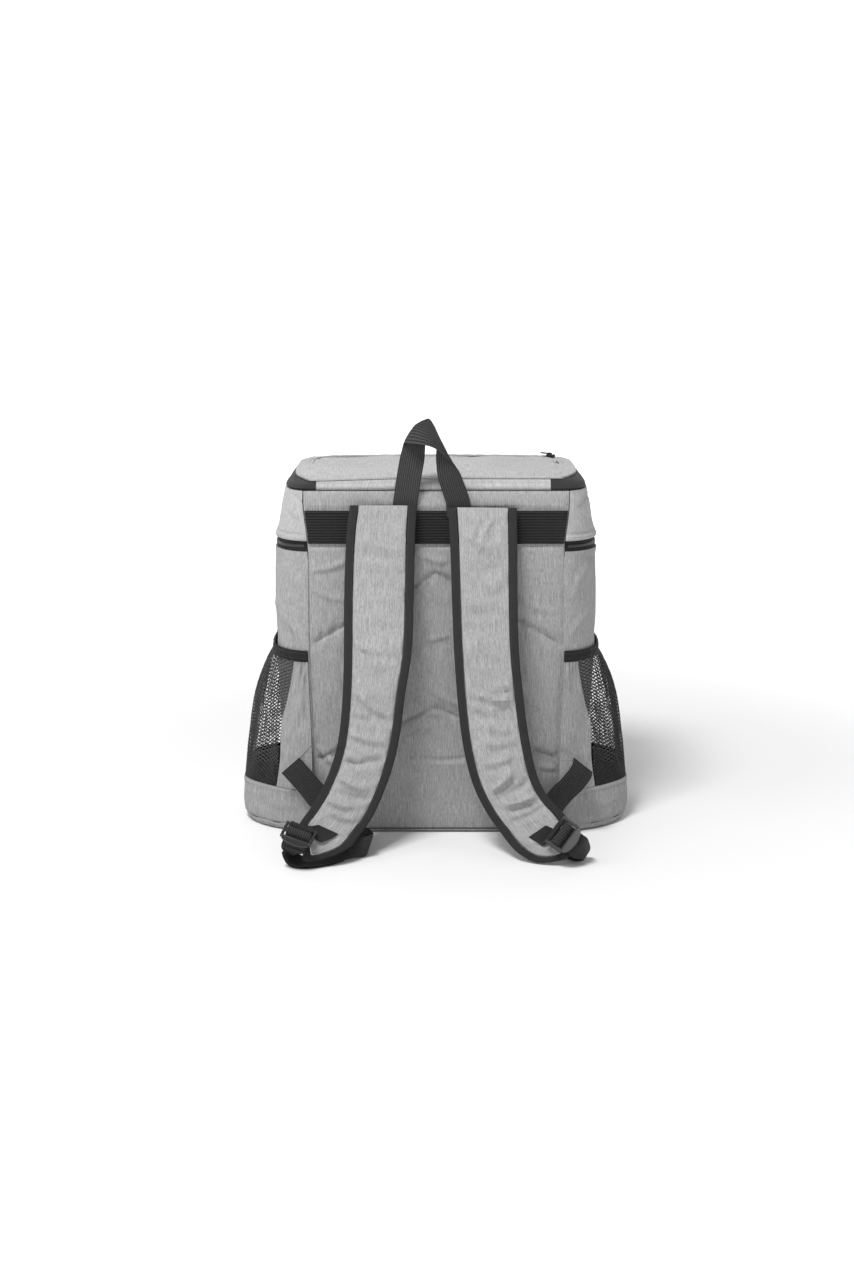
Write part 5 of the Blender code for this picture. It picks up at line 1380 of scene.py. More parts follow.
# ----------------------------------------------------------------- zip bands
def coil(p, line, normals, radius=1.35, pitch=1.5, mat=None):
    """Ridge of a zip's closed coil: small lobes side by side along a line."""
    line, normals = np.asarray(line, float), np.asarray(normals, float)
    s = np.concatenate([[0.0], np.cumsum(np.linalg.norm(np.diff(line, axis=0), axis=1))])
    count = int(s[-1] / (pitch / 4.0))
    at = np.linspace(0, s[-1], count)
    q = np.stack([np.interp(at, s, line[:, k]) for k in range(3)], axis=-1)
    n = np.stack([np.interp(at, s, normals[:, k]) for k in range(3)], axis=-1)
    n /= np.linalg.norm(n, axis=1, keepdims=True)
    t = np.gradient(q, axis=0)
    t /= np.linalg.norm(t, axis=1, keepdims=True)
    sd = np.cross(t, n)
    rings = []
    for k in range(7):
        a = math.pi * k / 6.0
        groove = 1.0 - 0.22 * math.sin(a) * (0.5 + 0.5 * np.cos(2 * math.pi * at / pitch + (0.0 if k < 3 else math.pi)))
        mid = 1.0 - 0.25 * (k == 3)
        rings.append(q + sd * (radius * 1.35 * math.cos(a)) + n * (radius * math.sin(a) * groove * mid)[:, None])
    top = np.stack(rings, axis=1)
    low = np.stack([q + sd * (radius * 1.35 * math.cos(math.pi * k / 6.0)) - n * 0.25 for k in range(7)], axis=1)
    p.sheet(top, low, mat or M_COIL)


def main_zip_piece():
    o, i = refine(np.array(zo), 4, 1), refine(np.array(zi), 4, 1)
    o, i = refine(o, 1, 6), refine(i, 1, 6)
    n = o - i
    n[..., 2] = 0
    n /= np.maximum(np.linalg.norm(n, axis=2, keepdims=True), 1e-9)
    f = np.linspace(0, 1, o.shape[1])[None, :]
    o = o + n * (-0.35 * np.sin(math.pi * f) + 0.05 * noise3(o / 9.0, 51.0))[..., None]
    p = Piece("zip_round_bag")
    p.sheet(o, i, M_TAPE, grid_uv(o, False))
    mid = o.shape[1] // 2
    line = o[2:-2, mid] + n[2:-2, mid] * 0.0
    coil(p, line, n[2:-2, mid])
    for k, m in ((1, M_THREAD), (-2, M_THREAD)):
        p.stitches(o[:, k], n[:, k], m, 3.0, 0.6, 0.2, 0.05)
    p.make("main_zip", angle=40)


def rim_visual(name, node, keep_back, mat):
    xl, xr = (RIM_CUT_LEFT + 0.25, RIM_CUT_RIGHT - 0.25) if keep_back else (RIM_CUT_LEFT - 0.25, RIM_CUT_RIGHT + 0.25)
    out, inn = [], []
    for row in RIM:
        o = cut_open(rim_outline(row, 0.0), xl, xr, keep_back)
        q = cut_open(rim_outline(row, RIM_WALL), xl, xr, keep_back)
        bulge = 0.8 if row is RIM[1] else 0.0
        zt = (lambda x, y: lid_height(x, y) - 0.6) if row is RIM[2] else (lambda x, y: row[0])
        out.append([(x + math.copysign(bulge, x) * (abs(x) > 130), y - bulge * (y < -60), zt(x, y)) for x, y in o])
        inn.append([(x, y, zt(x, y)) for x, y in q])
    o, i = refine(out, 6, 5), refine(inn, 6, 5)
    n = o - i
    n /= np.maximum(np.linalg.norm(n, axis=2, keepdims=True), 1e-9)
    f = np.linspace(0, 1, o.shape[0])[:, None]
    soft = 0.5 * noise3(o / 24.0, 61.0) + 0.45 * crumple(o, 26.0, 62.0)
    puff = 1.4 * np.sin(math.pi * f) ** 0.8
    seam = -1.2 * np.exp(-(f / 0.08) ** 2) - 1.3 * np.exp(-((1 - f) / 0.09) ** 2)
    o = o + n * np.clip(puff + seam + 1.5 * soft * np.sin(math.pi * f), -1.6, 2.4)[..., None]
    p = Piece(name)
    p.sheet(o, i, mat, np.stack([grid_uv(o)[..., 0], grid_uv(o)[..., 1]], axis=-1))
    for k in (3, -4):
        p.stitches(o[k], n[k], M_THREAD if mat is M_TRIM else M_GREYTHREAD, 3.4, 0.6, 0.22, 0.05)
    p.make(node)


# ---------------------------------------------------------------------- lid
def lid_piece():
    verts, quads = lid_cage()
    top = [np.array(v, float) for v in verts]
    low = [v - np.array((0, 0, TOP_T)) for v in top]
    n = len(top)
    faces, edges = [], {}
    for q in quads:
        faces.append(tuple(q))
        faces.append(tuple(n + i for i in reversed(q)))
        for a, b in zip(q, q[1:] + q[:1]):
            edges[(a, b)] = edges.get((a, b), 0) + 1
    for (a, b) in edges:
        if (b, a) not in edges:
            faces.append((b, a, n + a, n + b))
    me = bpy.data.meshes.new("lid_cage")
    me.from_pydata([tuple(v * MM) for v in top + low], [], faces)
    bm = bmesh.new()
    bm.from_mesh(me)
    bmesh.ops.remove_doubles(bm, verts=bm.verts, dist=1e-6)
    bmesh.ops.recalc_face_normals(bm, faces=bm.faces)
    crease = bm.edges.layers.float.new("crease_edge")
    for e in bm.edges:
        if len(e.link_faces) == 2 and e.calc_face_angle(0.0) > 0.9:
            e[crease] = 0.7
    bm.to_mesh(me)
    bm.free()
    ob = bpy.data.objects.new("lid_cage", me)
    bpy.context.scene.collection.objects.link(ob)
    s = ob.modifiers.new("s", 'SUBSURF')
    s.levels = s.render_levels = 3
    dg = bpy.context.evaluated_depsgraph_get()
    fine = bpy.data.meshes.new_from_object(ob.evaluated_get(dg))
    bpy.data.objects.remove(ob, do_unlink=True)
    co = np.empty(len(fine.vertices) * 3, dtype=np.float32)
    fine.vertices.foreach_get("co", co)
    co = co.reshape(-1, 3).astype(float) / MM
    faces = [tuple(q.vertices) for q in fine.polygons]
    x, y = co[:, 0], co[:, 1]
    # the cloth nearly closes over the zip along the sides
    w = np.maximum(TOP_HALF - np.abs(x), 0.0)
    near = np.clip((y + 60.0) / 30.0, 0, 1) * (y < 55.0) * (np.abs(x) > 100)
    lean = np.where((w > 12.0) & (w < 14.6), 2.75, 0.0) + np.where((w > 17.6) & (w < 20.0), -2.75, 0.0)
    co[:, 0] -= np.sign(x) * lean * near
    inside = np.clip((147.0 - np.abs(x)) / 12.0, 0, 1) * np.clip((y + 84.0) / 10.0, 0, 1) * np.clip((82.0 - y) / 10.0, 0, 1)
    q = co * np.array((1, 1, 0))
    soft = 0.9 * noise3(q / 55.0, 71.0) + 1.0 * crumple(q, 48.0, 72.0, (1.3, 1, 1))
    folds = fold_lines(photo_px(co), LID_FOLDS)
    # the cloth between zip and edge is slack, and puckers at the stitching
    border = np.exp(-((147.0 - np.abs(x)) / 10.0) ** 2) + np.exp(-((82.0 - y) / 10.0) ** 2)
    puck = 0.22 * np.sin(x / 2.4 + 3 * noise3(q / 20.0, 73.0)) * np.clip(border, 0, 1)
    co[:, 2] += np.clip(inside * (1.3 * soft + 1.8 * folds) + puck * 0.9, -2.8, 2.8)
    p = Piece("lid_cloth")
    p.add(co, faces, M_LIGHT, np.stack([x + 200.0, y + 200.0], axis=-1))
    # stitching along both sides of the zip
    for k in (SLIT_OUT - 1.6, SLIT_IN + 1.6):
        row = u_path(k)[SLIT_FROM:-SLIT_FROM]
        line = refine(np.array([[(a, b, lid_height(a, b) + 2.45) for a, b in row]]), 1, 6)[0]
        p.stitches(line, np.tile((0, 0, 1.0), (len(line), 1)), M_GREYTHREAD, 3.2, 0.6, 0.24, 0.25)
    ob = p.make("lid_top", angle=70)


def lid_zip_piece():
    t, b = refine(np.array(top), 3, 6), refine(np.array(low), 3, 6)
    p = Piece("zip_of_lid")
    p.sheet(t, b, M_TAPE, grid_uv(t, False)[..., ::-1])
    mid = t.shape[0] // 2
    coil(p, t[mid, 1:-1] - np.array((0, 0, 0.25)), np.tile((0, 0, 1.0), (t.shape[1] - 2, 1)), 1.2)
    p.make("lid_zip", angle=40)


# ------------------------------------------------------------------- ribbons
def ribbon_grid(rows, subdiv, across, floor=0.25, thick=1.5):
    rows = np.array([[r[0], BACK_Y - r[1], r[2], r[3], BACK_Y - r[4], r[5]] for r in rows], float)
    g = np.stack([rows[:, :3], rows[:, 3:]], axis=1)
    g = refine(g, subdiv, 1)
    f = np.linspace(0, 1, across + 1)[None, :, None]
    mid = g[:, :1] * (1 - f) + g[:, 1:] * f
    return mid, grid_normals(mid)


# how far the middle of the handle's webbing stands out from straight between
# its edges: row of the table, sideways, up
CROWN = [(3.8, 0.0, 0.0), (5.0, -1.6, 8.0), (6.0, -1.8, 9.0), (7.0, -1.2, 7.0), (8.0, 0.0, 4.0), (9.5, 0.6, 2.0), (11.0, 2.2, 2.4),
         (12.0, 3.6, 3.0), (13.0, 3.6, 2.2), (14.5, 1.0, 0.4), (15.5, 0.0, 0.0)]


def crown(mid, subdiv):
    u = np.arange(mid.shape[0]) / float(subdiv)
    c = np.array(CROWN)
    f = np.linspace(0, 1, mid.shape[1])[None, :]
    w = 4 * f * (1 - f)
    out = mid.copy()
    out[..., 0] += np.interp(u, c[:, 0], c[:, 1])[:, None] * w
    out[..., 2] += np.interp(u, c[:, 0], c[:, 2])[:, None] * w
    return out


def ribbon_piece(name, node, rows, thick, mat, subdiv=8, across=10, floor=0.25, wrinkle=0.25, thread=None, extra=None, edge_roll=0.25, shape=None):
    mid, n = ribbon_grid(rows, subdiv, across)
    if shape:
        mid = shape(mid, subdiv)
        n = grid_normals(mid)
    f = np.linspace(-1, 1, mid.shape[1])[None, :, None]
    edge = 1.0 - 0.55 * np.abs(f) ** 8
    # selvedges a touch thicker, the middle pressed
    body = (0.5 * thick) * edge * (0.86 + edge_roll * np.exp(-((np.abs(f) - 0.88) / 0.07) ** 2))
    soft = wrinkle * noise3(mid / 14.0, 81.0)[..., None] * (1 - np.abs(f) ** 4)
    t, b = mid + n * (body + soft), mid - n * (body - soft)
    t[..., 2] = np.maximum(t[..., 2], floor)
    b[..., 2] = np.maximum(b[..., 2], floor)
    uv = grid_uv(mid)
    p = Piece(name)
    p.sheet(t, b, mat, uv)
    for k in (thread or ()):
        c = int(round((k + 1) * 0.5 * (mid.shape[1] - 1)))
        p.stitches(t[2:-2, c], n[2:-2, c], M_THREAD, 3.2, 0.6, 0.24, 0.0)
        p.stitches(b[2:-2, c], -n[2:-2, c], M_THREAD, 3.2, 0.6, 0.24, 0.0)
    if extra:
        extra(p, mid, n, t, b)
    return p.make(node)


# -------------------------------------------------------------------- straps
N_LONG, N_TIP = 120, 16


def strap_pieces(tag, sp, folds):
    floor = sp.floor
    line, inner, nrm = edge_line(sp, BIND_W + CORE_GAP)
    n = len(line)
    n_t = 26
    front, rear, nn = [], [], []
    for i in range(n // 2):
        j = n - 1 - i
        u = line[i][0]
        share = np.linalg.norm(inner[j] - inner[i]) / (2 * sp.half_mm(u))
        fr, rr, nv = [], [], []
        for m in range(n_t + 1):
            f = m / n_t
            t = -1.0 + 2.0 * f
            q = inner[i] * (1 - f) + inner[j] * f
            dep = sp.depth(u, t * share)
            crown = (1.0 if u < sp.pad_end else 0.4)
            step = 1.0 / (1.0 + math.exp((u - sp.pad_end) * 26.0))
            fr.append(q + nrm[i] * (crown * (1.0 - t * t) * 0.6 + 1.1 * step * (1.0 - abs(t) ** 6)))
            rr.append(q - nrm[i] * dep)
            nv.append(nrm[i])
        front.append(fr)
        rear.append(rr)
        nn.append(nv)
    front, rear, nn = np.array(front), np.array(rear), np.array(nn)
    px = photo_px(front)
    f = np.linspace(-1, 1, n_t + 1)[None, :]
    across = 1.0 - np.abs(f) ** 6
    ends = np.clip(np.arange(front.shape[0]) / 3.0, 0, 1)[:, None]
    soft = 0.75 * noise3(front / np.array((34.0, 34.0, 26.0)), 91.0 + (tag == "right")) \
        + 0.55 * crumple(front, 26.0, 92.0 + (tag == "right"), (1.6, 1, 0.9))
    edge_p = 0.35 * np.sin(lengths(front, 0)[:, None] / 2.6 + 4 * noise3(front / 18.0, 93.0)) * np.exp(-((1 - np.abs(f)) / 0.14) ** 2)
    push = ends * (across * (2.7 * soft + 2.9 * fold_lines(px, folds)) + edge_p)
    front = front + nn * np.clip(push, -3.8, 4.6)[..., None]
    back_soft = 0.5 * noise3(rear / 24.0, 95.0) * across * ends
    rear = rear + nn * np.clip(back_soft + 0.5 * across, 0.0, 1.4)[..., None]
    rear[..., 2] = np.maximum(rear[..., 2], floor + 0.3)
    front[..., 2] = np.maximum(front[..., 2], floor + 1.2)
    p = Piece("shoulder_strap_" + tag)
    p.sheet(front, rear, M_STRAP, grid_uv(front))
    ob = p.make("strap_" + tag, angle=70)

    # binding tape folded round the edge, with a line of stitching
    prof = [(0.0, -2.1), (0.0, -1.2), (0.35, -0.45), (1.1, 0.05), (2.2, 0.35), (4.2, 0.42), (6.2, 0.42), (7.6, 0.3), (8.3, -0.1), (BIND_W, -0.7)]
    of, orr = [], []
    for w, lift in prof:
        ln, pts, nr = edge_line(sp, w)
        th = np.array([(5.0 if u < sp.pad_end else 4.2) * min(1.0, 0.7 + 0.3 * u / 0.5) for u, t in ln])
        of.append(pts + nr * lift)
        orr.append(pts - nr * (th[:, None] + lift * 0.9))
    o, r = np.array(of), np.array(orr)
    lens = lengths(o, 1)
    ruck = 0.34 * np.sin(lens / 4.1 + 5 * noise3(o[4] / 26.0, 96.0)) + 0.6 * noise3(o[4] / 13.0, 97.0)
    w8 = np.array([0, 0.2, 0.5, 0.9, 1, 1, 1, 0.9, 0.7, 0.3])[:, None]
    o = o + nr[None] * (ruck[None] * w8)[..., None]
    for arr, lo in ((o, floor + 0.9), (r, floor)):
        arr[..., 2] = np.maximum(arr[..., 2], lo)
    p = Piece("edge_binding_" + tag)
    uv = np.stack([np.array([w for w, _ in prof])[:, None] + np.zeros(o.shape[1])[None], np.zeros(len(prof))[:, None] + lens[None]], axis=-1)
    p.sheet(o, r, M_BIND, uv)
    p.stitches(o[7] + nr * 0.02, nr, M_THREAD, 3.6, 0.6, 0.42, 0.05)
    p.make("binding_" + tag, angle=70)


# ------------------------------------------------------------------- pockets
def pocket_surface(side, zs, inset, where, count, shift=0.0, pleat=0.0, cover=3.0):
    rows = []
    for z in zs:
        e = interp(NET_EDGE, z, (1,))[0] + shift
        o = resample(part_of_curve(pocket_curve(z, inset, 60, cover), e, e, where), count)
        n = resample(part_of_curve(pocket_curve(z, inset + 1.0, 60, cover), e, e, where), count)
        if pleat:
            tz = min(1.0, (193.0 - z) / 25.0) * min(1.0, max(0.0, (z - 46.0) / 40.0))
            f = np.arange(count) / (count - 1.0)
            push = pleat * tz * np.sin(f * 6.0 * 2 * math.pi + 0.02 * z)
            push[0] = push[-1] = 0.0
            d = o - n
            d /= np.maximum(np.linalg.norm(d, axis=1, keepdims=True), 1e-9)
            o = o + d * push[:, None]
        rows.append([(side * p[0], p[1], z) for p in o])
    return np.array(rows)


def out_normals(g, side):
    n = grid_normals(g)
    mid = np.array((side * POLE[0], 0.0, 0.0))
    out = ((g - mid)[..., :2] * n[..., :2]).sum(-1).mean()
    return n if out > 0 else -n


def net_piece(tag, side):
    zs = np.linspace(47.0, 188.6, 60)
    g = pocket_surface(side, zs, 1.5, 'net', 161, 0.5, 2.2)
    n = out_normals(g, side)
    nr, nc = g.shape[:2]
    wide = lengths(g, 1)[-1]
    high = lengths(g, 0)[-1]
    cells_x, cells_z = int(round(wide / NET_CELL[0])), int(round(high / NET_CELL[1]))

    def at(fx, fz):
        i, j = np.clip(fz, 0, 1) * (nr - 1), np.clip(fx, 0, 1) * (nc - 1)
        i0, j0 = np.minimum(i.astype(int), nr - 2), np.minimum(j.astype(int), nc - 2)
        a, b = (i - i0)[:, None], (j - j0)[:, None]

        def read(q):
            return q[i0, j0] * (1 - a) * (1 - b) + q[i0 + 1, j0] * a * (1 - b) + q[i0, j0 + 1] * (1 - a) * b + q[i0 + 1, j0 + 1] * a * b
        return read(g), read(n)
    p = Piece("pocket_mesh_" + tag)
    phi = np.arange(cells_z * 2 + 1) / 2.0
    for fam in (-1, 1):
        for k in range(-cells_z - 1, cells_x + cells_z + 2):
            fx = (k + fam * phi) / cells_x
            ok = (fx >= -1e-6) & (fx <= 1 + 1e-6)
            if ok.sum() < 3:
                continue
            fx, fz = fx[ok], phi[ok] / cells_z
            # strands bunch together where the net hangs in folds
            turn = 2 * math.pi * NET_FOLDS
            fx = fx + 0.45 / turn * np.sin(turn * fx + 1.6 * np.sin(4.0 * fz + 1.0)) * np.clip(fz * 3.0, 0, 1)
            fx = np.clip(fx, 0.0, 1.0)
            pts, nr_ = at(fx, fz)
            wob = 0.18 * noise3(pts / 6.0, 101.0)[:, None]
            pts = pts + nr_ * (0.16 * fam + wob)
            p.tube(pts, NET_R, M_NET, 4, nr_, 0.9)
    # the doubled strip at the foot of the net, higher toward the seam beside the back panel
    nb = 12
    f = np.linspace(0, 1, 61)
    out, inn = [], []
    for r in range(nb + 1):
        back = np.clip(-at(f, 0 * f)[0][:, 1] / 70.0, 0, 1)
        top_f = (NET_FOOT[0] + (NET_FOOT[1] - NET_FOOT[0]) * back ** 1.3) / 141.6
        pts, nn = at(f, top_f * r / nb)
        bag = 0.35 * noise3(pts / 9.0, 103.0)[:, None]
        out.append(pts + nn * (0.55 + bag * 0.4))
        inn.append(pts - nn * (0.45 - bag * 0.4))
    p.sheet(out, inn, M_NETBAND)
    ob = p.make("pocket_net_" + tag, recalc=True, angle=75)


def gusset_piece(tag, side, where):
    zs = np.linspace(47.0, 188.6, 48)
    o = pocket_surface(side, zs, 0.4, where, 25, -0.3)
    i = pocket_surface(side, zs, 2.2, where, 25, -0.3)
    n = out_normals(o, side)
    soft = 0.5 * noise3(o / 22.0, 111.0) + 0.6 * crumple(o, 24.0, 112.0, (1, 1, 1.4))
    f = np.linspace(0, 1, 25)[None, :]
    hold = np.clip(np.minimum(f, 1 - f) * 6.0, 0, 1)
    gather = 1.1 * np.exp(-(189.0 - o[..., 2]) / 17.0) * np.sin(2 * math.pi * f * 4.5 + 0.5) * hold
    push = np.clip(1.3 * soft * hold + gather + 1.7 * hold * np.where(o[..., 1] < 0, fold_lines(photo_px(o), GUSSET_FOLDS), 0.0), -0.6, 2.2)
    o = o + n * push[..., None]
    i = i + n * np.clip(push, 0.0, 2.2)[..., None] * 0.9
    p = Piece("pocket_side_%s_%s" % (where, tag))
    p.sheet(o, i, M_BODY, np.stack([grid_uv(o)[..., 0], o[..., 2]], axis=-1))
    c = 22 if where == 'back' else 2
    p.stitches(o[1:-1, c], n[1:-1, c], M_GREYTHREAD, 3.2, 0.6, 0.22, 0.05)
    ob = p.make("pocket_gusset_%s_%s" % (where, tag))


def base_piece(tag, side, count=30):
    out, inn = [], []
    for z in (46.4, 42.0, 30.0, 18.0, 9.0, 4.0, 1.0):
        c = resample(pocket_curve(z, 0.0, cover=5.4), count)
        ci = resample(pocket_curve(max(z, 3.6), 2.6 if z > 5 else 3.4, cover=5.4), count)
        zi_ = z if z > 9 else (10.5 if z == 9.0 else (6.5 if z == 4.0 else 3.6))
        out.append([(side * p[0], p[1], z) for p in c])
        inn.append([(side * p[0], p[1], zi_) for p in ci])
    foot = resample(np.array(plan_half(8.0, -1.6)), count)
    out.append([(side * p[0], p[1], 0.6) for p in foot])
    inn.append([(side * p[0], p[1], 3.0) for p in foot])
    o, i = refine(out, 6, 5), refine(inn, 6, 5)
    o[..., 2], i[..., 2] = np.maximum(o[..., 2], 0.35), np.maximum(i[..., 2], 2.6)
    n = out_normals(o[:30], side)
    n = np.concatenate([n, np.tile(n[-1:], (o.shape[0] - 30, 1, 1))])
    z = o[..., 2]
    hold = np.clip((z - 6.0) / 8.0, 0, 1) * np.clip((46.0 - z) / 5.0, 0, 1)
    soft = 0.9 * noise3(o / np.array((30.0, 30.0, 20.0)), 121.0) + 0.6 * crumple(o, 24.0, 122.0)
    folds = np.where(o[..., 1] < 0, fold_lines(photo_px(o), BASE_FOLDS), 0.0)
    top_edge = 0.5 * np.exp(-((z - 43.6) / 0.9) ** 2) - 0.5 * np.exp(-((z - 41.6) / 0.7) ** 2)
    foot_seam = -1.2 * np.exp(-((z - 8.2) / 0.9) ** 2) * (o[..., 1] < 200)
    push = np.clip(hold * (0.6 * soft + folds) + top_edge + foot_seam, -1.0, 1.6)
    o = o + n * push[..., None]
    i = i + n * np.clip(push * 0.8, 0.0, 1.4)[..., None]
    p = Piece("pocket_foot_" + tag)
    p.sheet(o, i, M_BODY, np.stack([grid_uv(o)[..., 0], -grid_uv(o)[..., 1]], axis=-1))
    for zz in (39.6, 10.6):
        r = int(np.argmin(np.abs(o[:36, 60, 2] - zz)))
        p.stitches(o[r], n[r], M_GREYTHREAD, 3.4, 0.6, 0.26, 0.08)
    r = int(np.argmin(np.abs(o[:36, 60, 2] - 8.2)))
    for a in range(3, o.shape[1] - 8, 17):
        p.tube(o[r, a:a + 6] + n[r, a:a + 6] * 0.3, 0.45, M_THREAD, 5)
    ob = p.make("pocket_base_" + tag)


def elastic_piece(tag, side):
    zs = np.linspace(189.2, 200.6, 11)
    o = pocket_surface(side, zs, 0.0, 'all', 181)
    i = pocket_surface(side, zs, 1.9, 'all', 181)
    n = out_normals(o, side)
    s = lengths(o, 1)[None, :]
    f = np.linspace(0, 1, 11)[:, None]
    ends = np.clip(np.minimum(s, s[0, -1] - s) / 12.0, 0, 1)
    gather = 0.25 * np.sin(s / 1.35 + 5 * noise3(o / 30.0, 131.0)) * ends + 0.5 * noise3(o / 14.0, 132.0) * ends
    roll = 1.3 * np.sin(math.pi * np.clip(f, 0.0, 1.0)) ** 0.5 - 0.4
    o = o + n * (gather * (0.6 + 0.4 * f) + roll)[..., None]
    i = i + n * np.clip(gather, 0, 1)[..., None] * 0.8
    p = Piece("pocket_hem_" + tag)
    p.sheet(o, i, M_ELASTIC, grid_uv(o))
    for k in (3, 8):
        p.stitches(o[k], n[k], M_THREAD, 2.8, 0.6, 0.22, 0.05)
    p.make("pocket_elastic_" + tag)


def tab_piece(tag, rows, thick=2.0):
    front, rear = [], []
    for a, b in rows:
        f = [np.array((a[0] + (b[0] - a[0]) * i / 3.0, BACK_Y - (a[1] + (b[1] - a[1]) * i / 3.0),
                       a[2] + (b[2] - a[2]) * i / 3.0)) for i in range(4)]
        front.append([q + np.array((0, -thick, 0)) for q in f])
        rear.append(f)
    o, i = refine(front, 9, 7), refine(rear, 9, 7)
    fr = np.linspace(0, 1, o.shape[0])[:, None]
    fc = np.linspace(0, 1, o.shape[1])[None, :]
    hem = 0.45 * np.exp(-((fr - 0.07) / 0.05) ** 2) + 0.45 * np.exp(-((fr - 0.93) / 0.05) ** 2)
    soft = 0.35 * noise3(o / 11.0, 141.0) + 0.3 * crumple(o, 14.0, 142.0)
    o[..., 1] -= np.clip(hem + soft * np.sin(math.pi * fr) * np.sin(math.pi * np.clip(fc, 0.05, 0.95)), -0.6, 1.1)
    p = Piece("corner_tab_" + tag)
    p.sheet(o, i, M_BODY, np.stack([o[..., 0], o[..., 2]], axis=-1))
    for k in (5, -6):
        p.stitches(o[k] + np.array((0, -0.05, 0)), np.tile((0, -1.0, 0), (o.shape[1], 1)), M_GREYTHREAD, 2.8, 0.6, 0.22, 0.05)
    for r, off in ((0, 0.0), (6, 0.0), (-1, 0.0), (-7, 0.0)):
        p.tube(o[r] + np.array((0, -0.45 if r in (0, -1) else -0.1, 0)), 0.75 if r in (0, -1) else 0.4, M_STRAP, 6)
    p.make("tab_" + tag)


# --------------------------------------------------------------- making it all
NET_CELL = (7.0, 4.2)      # width and height of a hole of the net
NET_R = 0.60
NET_FOLDS = 6              # upright folds of the net
NET_FOOT = (5.0, 26.0)     # height of the doubled strip at mid side, at the seam beside the back panel
M_NETBAND = heather("net_strip", tint(BLACK, 1.0), 1.2)

# folds: x0, y0, x1, y1, half width in px, height in mm
BODY_FOLDS = [
    (284, 560, 300, 590, 3, 0.7), (276, 600, 304, 640, 3.5, 0.8), (288, 612, 293, 652, 2.0, -0.9), (300, 618, 304, 650, 2.0, 0.8),
    (281, 628, 284, 650, 2.0, 0.7), (594, 560, 572, 600, 3, 0.7), (573, 545, 566, 590, 2.0, -0.8), (592, 610, 566, 645, 3, 0.7),
]
UPPER_FOLDS = [
    (293, 494, 303, 503, 1.6, -1.2), (288, 506, 303, 518, 3.0, 0.8), (590, 494, 580, 508, 1.8, -0.9), (572, 505, 590, 520, 3.0, 0.7),
]
PANEL_FOLDS = [
    (316, 746, 346, 768, 2.6, 1.0), (318, 757, 345, 752, 2.2, -0.9), (330, 757, 400, 748, 3.0, -0.8), (523, 760, 556, 768, 2.5, 0.9),
    (533, 748, 560, 756, 2.5, -0.8), (415, 552, 448, 562, 3.0, 0.8), (410, 756, 470, 757, 2.2, -0.7), (420, 640, 450, 634, 3.0, 0.6),
    (312, 570, 345, 562, 3.0, 0.8), (312, 590, 345, 600, 3.0, 0.6), (412, 700, 440, 715, 3.5, 0.8), (430, 690, 468, 706, 3.5, 0.7),
    (402, 740, 430, 726, 3.0, 0.8), (520, 600, 560, 612, 3.5, 0.6),
]
LID_FOLDS = [
    (300, 470, 345, 462, 4, 0.9), (330, 472, 400, 466, 4, 0.8), (470, 466, 540, 472, 4, 0.9), (556, 461, 558, 468, 1.2, -0.8),
    (561.5, 472, 562, 477, 1.2, -0.7), (452, 459, 500, 463, 3, 0.8), (360, 461, 398, 459, 3, 0.7),
]
STRAP_FOLDS_L = [
    (352, 548, 382, 556, 3.0, -1.0), (358, 562, 410, 566, 3.2, 1.2), (376, 548, 412, 552, 2.6, 0.9), (352, 640, 372, 652, 3.0, 1.1),
    (352, 648, 402, 660, 3.0, -0.9), (346, 686, 370, 700, 3.2, 1.2), (360, 700, 398, 716, 3.4, 1.2), (346, 712, 372, 722, 3.0, -1.0),
    (342, 730, 392, 742, 3.6, 1.3), (338, 748, 362, 762, 3.2, 1.2), (346, 762, 386, 758, 3.2, -1.1), (332, 772, 368, 790, 3.6, 1.5),
    (340, 792, 374, 800, 3.2, -1.2), (322, 796, 352, 808, 3.2, 1.3), (330, 812, 356, 820, 3.0, 1.2),
]
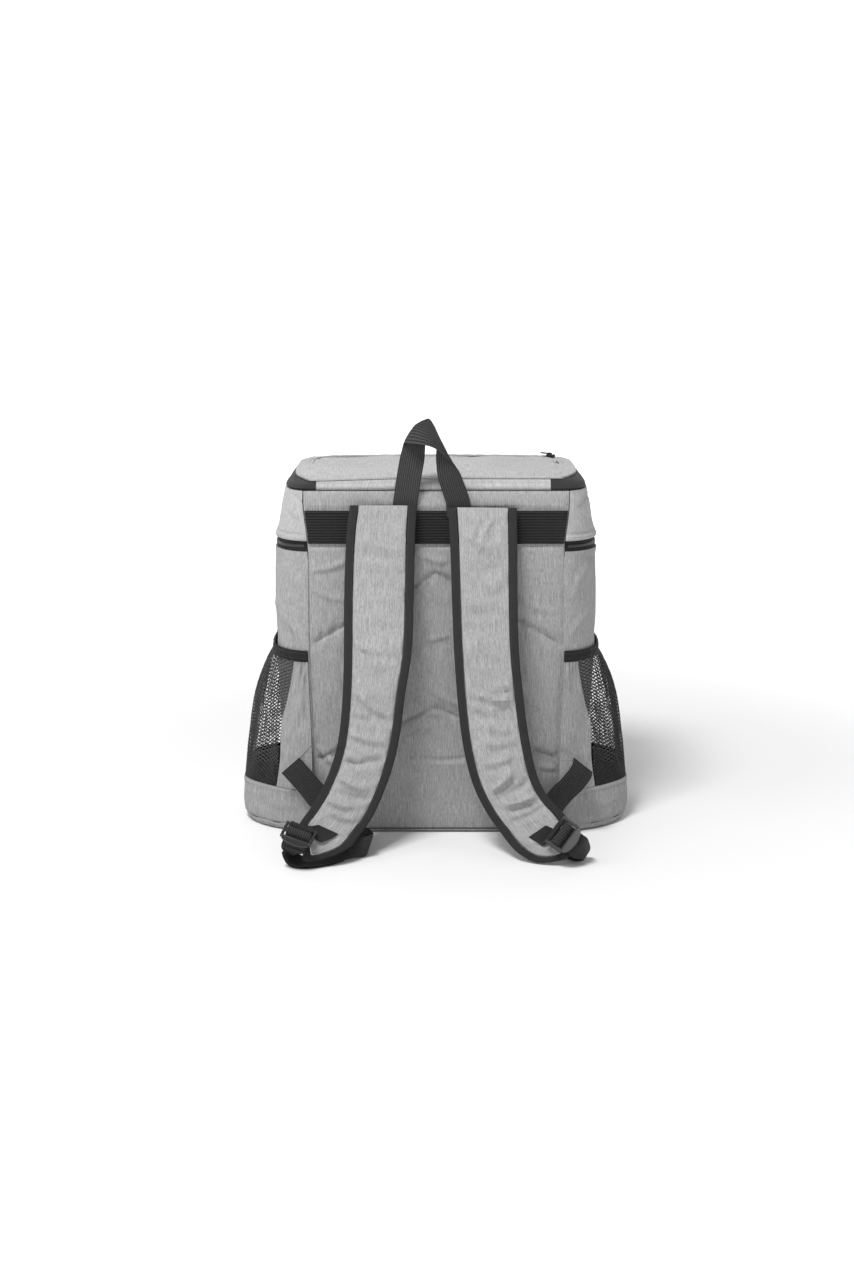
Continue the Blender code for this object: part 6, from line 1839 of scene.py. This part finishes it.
STRAP_FOLDS_R = [
    (470, 536, 492, 552, 2.8, 1.2), (492, 520, 480, 548, 2.6, 1.0), (462, 572, 508, 566, 3.0, -1.0), (474, 590, 510, 580, 3.2, 1.1),
    (460, 600, 490, 606, 3.2, 0.8), (466, 690, 512, 700, 3.4, 1.3), (490, 696, 516, 688, 2.6, -1.1), (470, 706, 500, 712, 3.0, 1.0),
    (478, 724, 520, 730, 3.2, 0.9), (484, 744, 526, 736, 3.2, 1.0), (490, 792, 512, 772, 3.0, 1.6), (496, 800, 534, 776, 3.0, -1.5),
    (506, 806, 540, 792, 3.2, 1.7), (512, 822, 552, 800, 2.8, -1.2), (484, 764, 512, 756, 3.2, 1.2),
]
GUSSET_FOLDS = [
    (301, 664, 299, 690, 2.0, 1.2), (294, 666, 292, 700, 1.8, -1.0), (288, 664, 286, 684, 1.8, 1.1), (306, 668, 304, 720, 2.0, 0.9),
    (568, 666, 570, 690, 1.8, 1.1), (574, 666, 577, 712, 1.8, -1.0), (580, 664, 584, 690, 1.8, 1.1), (286, 740, 300, 700, 3.0, 0.9),
]
BASE_FOLDS = [(262, 800, 300, 806, 3, 0.9), (250, 790, 270, 796, 3, 0.7), (590, 806, 618, 798, 3, 0.8)]

bag, body_g, body_n = body_piece()
upper_piece()
panel_piece()
band_piece()
main_zip_piece()
rim_visual("lid_side_back", "rim_back", True, M_LIGHT)
rim_visual("lid_side_black", "rim_trim", False, M_TRIM)
lid_piece()
lid_zip_piece()
ribbon_piece("carry_loop", "carry_handle", HANDLE, 1.9, M_HANDLE, 8, 16, wrinkle=0.08, shape=crown)
sp_l = Strap(STRAP_L, 9.35, 4.7)
sp_r = Strap(STRAP_R, 9.25, 0.3)
strap_pieces("left", sp_l, STRAP_FOLDS_L)
strap_pieces("right", sp_r, STRAP_FOLDS_R)
for tag in ("left", "right"):
    ribbon_piece("end_patch_" + tag, "strap_patch_" + tag, patch_rows(tag), WEB_T, M_PATCH, 6, 12, wrinkle=0.0)
    ribbon_piece("adjusting_web_" + tag, "adjuster_" + tag, adjuster_rows(tag), WEB_T, M_WEB, 6, 10, wrinkle=0.0)
for side, tag in ((-1, "left"), (1, "right")):
    base_piece(tag, side)
    net_piece(tag, side)
    gusset_piece(tag, side, 'back')
    gusset_piece(tag, side, 'front')
    elastic_piece(tag, side)
    tab_piece(tag, TABS[tag])

# hard pieces keep their own shape and get their finish
for node, m in (("buckle_left", M_NYLON), ("buckle_right", M_NYLON), ("lid_zip_slider", M_METAL), ("main_zip_slider", M_METAL)):
    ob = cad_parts[node]
    for s in ob.material_slots:
        s.material = m
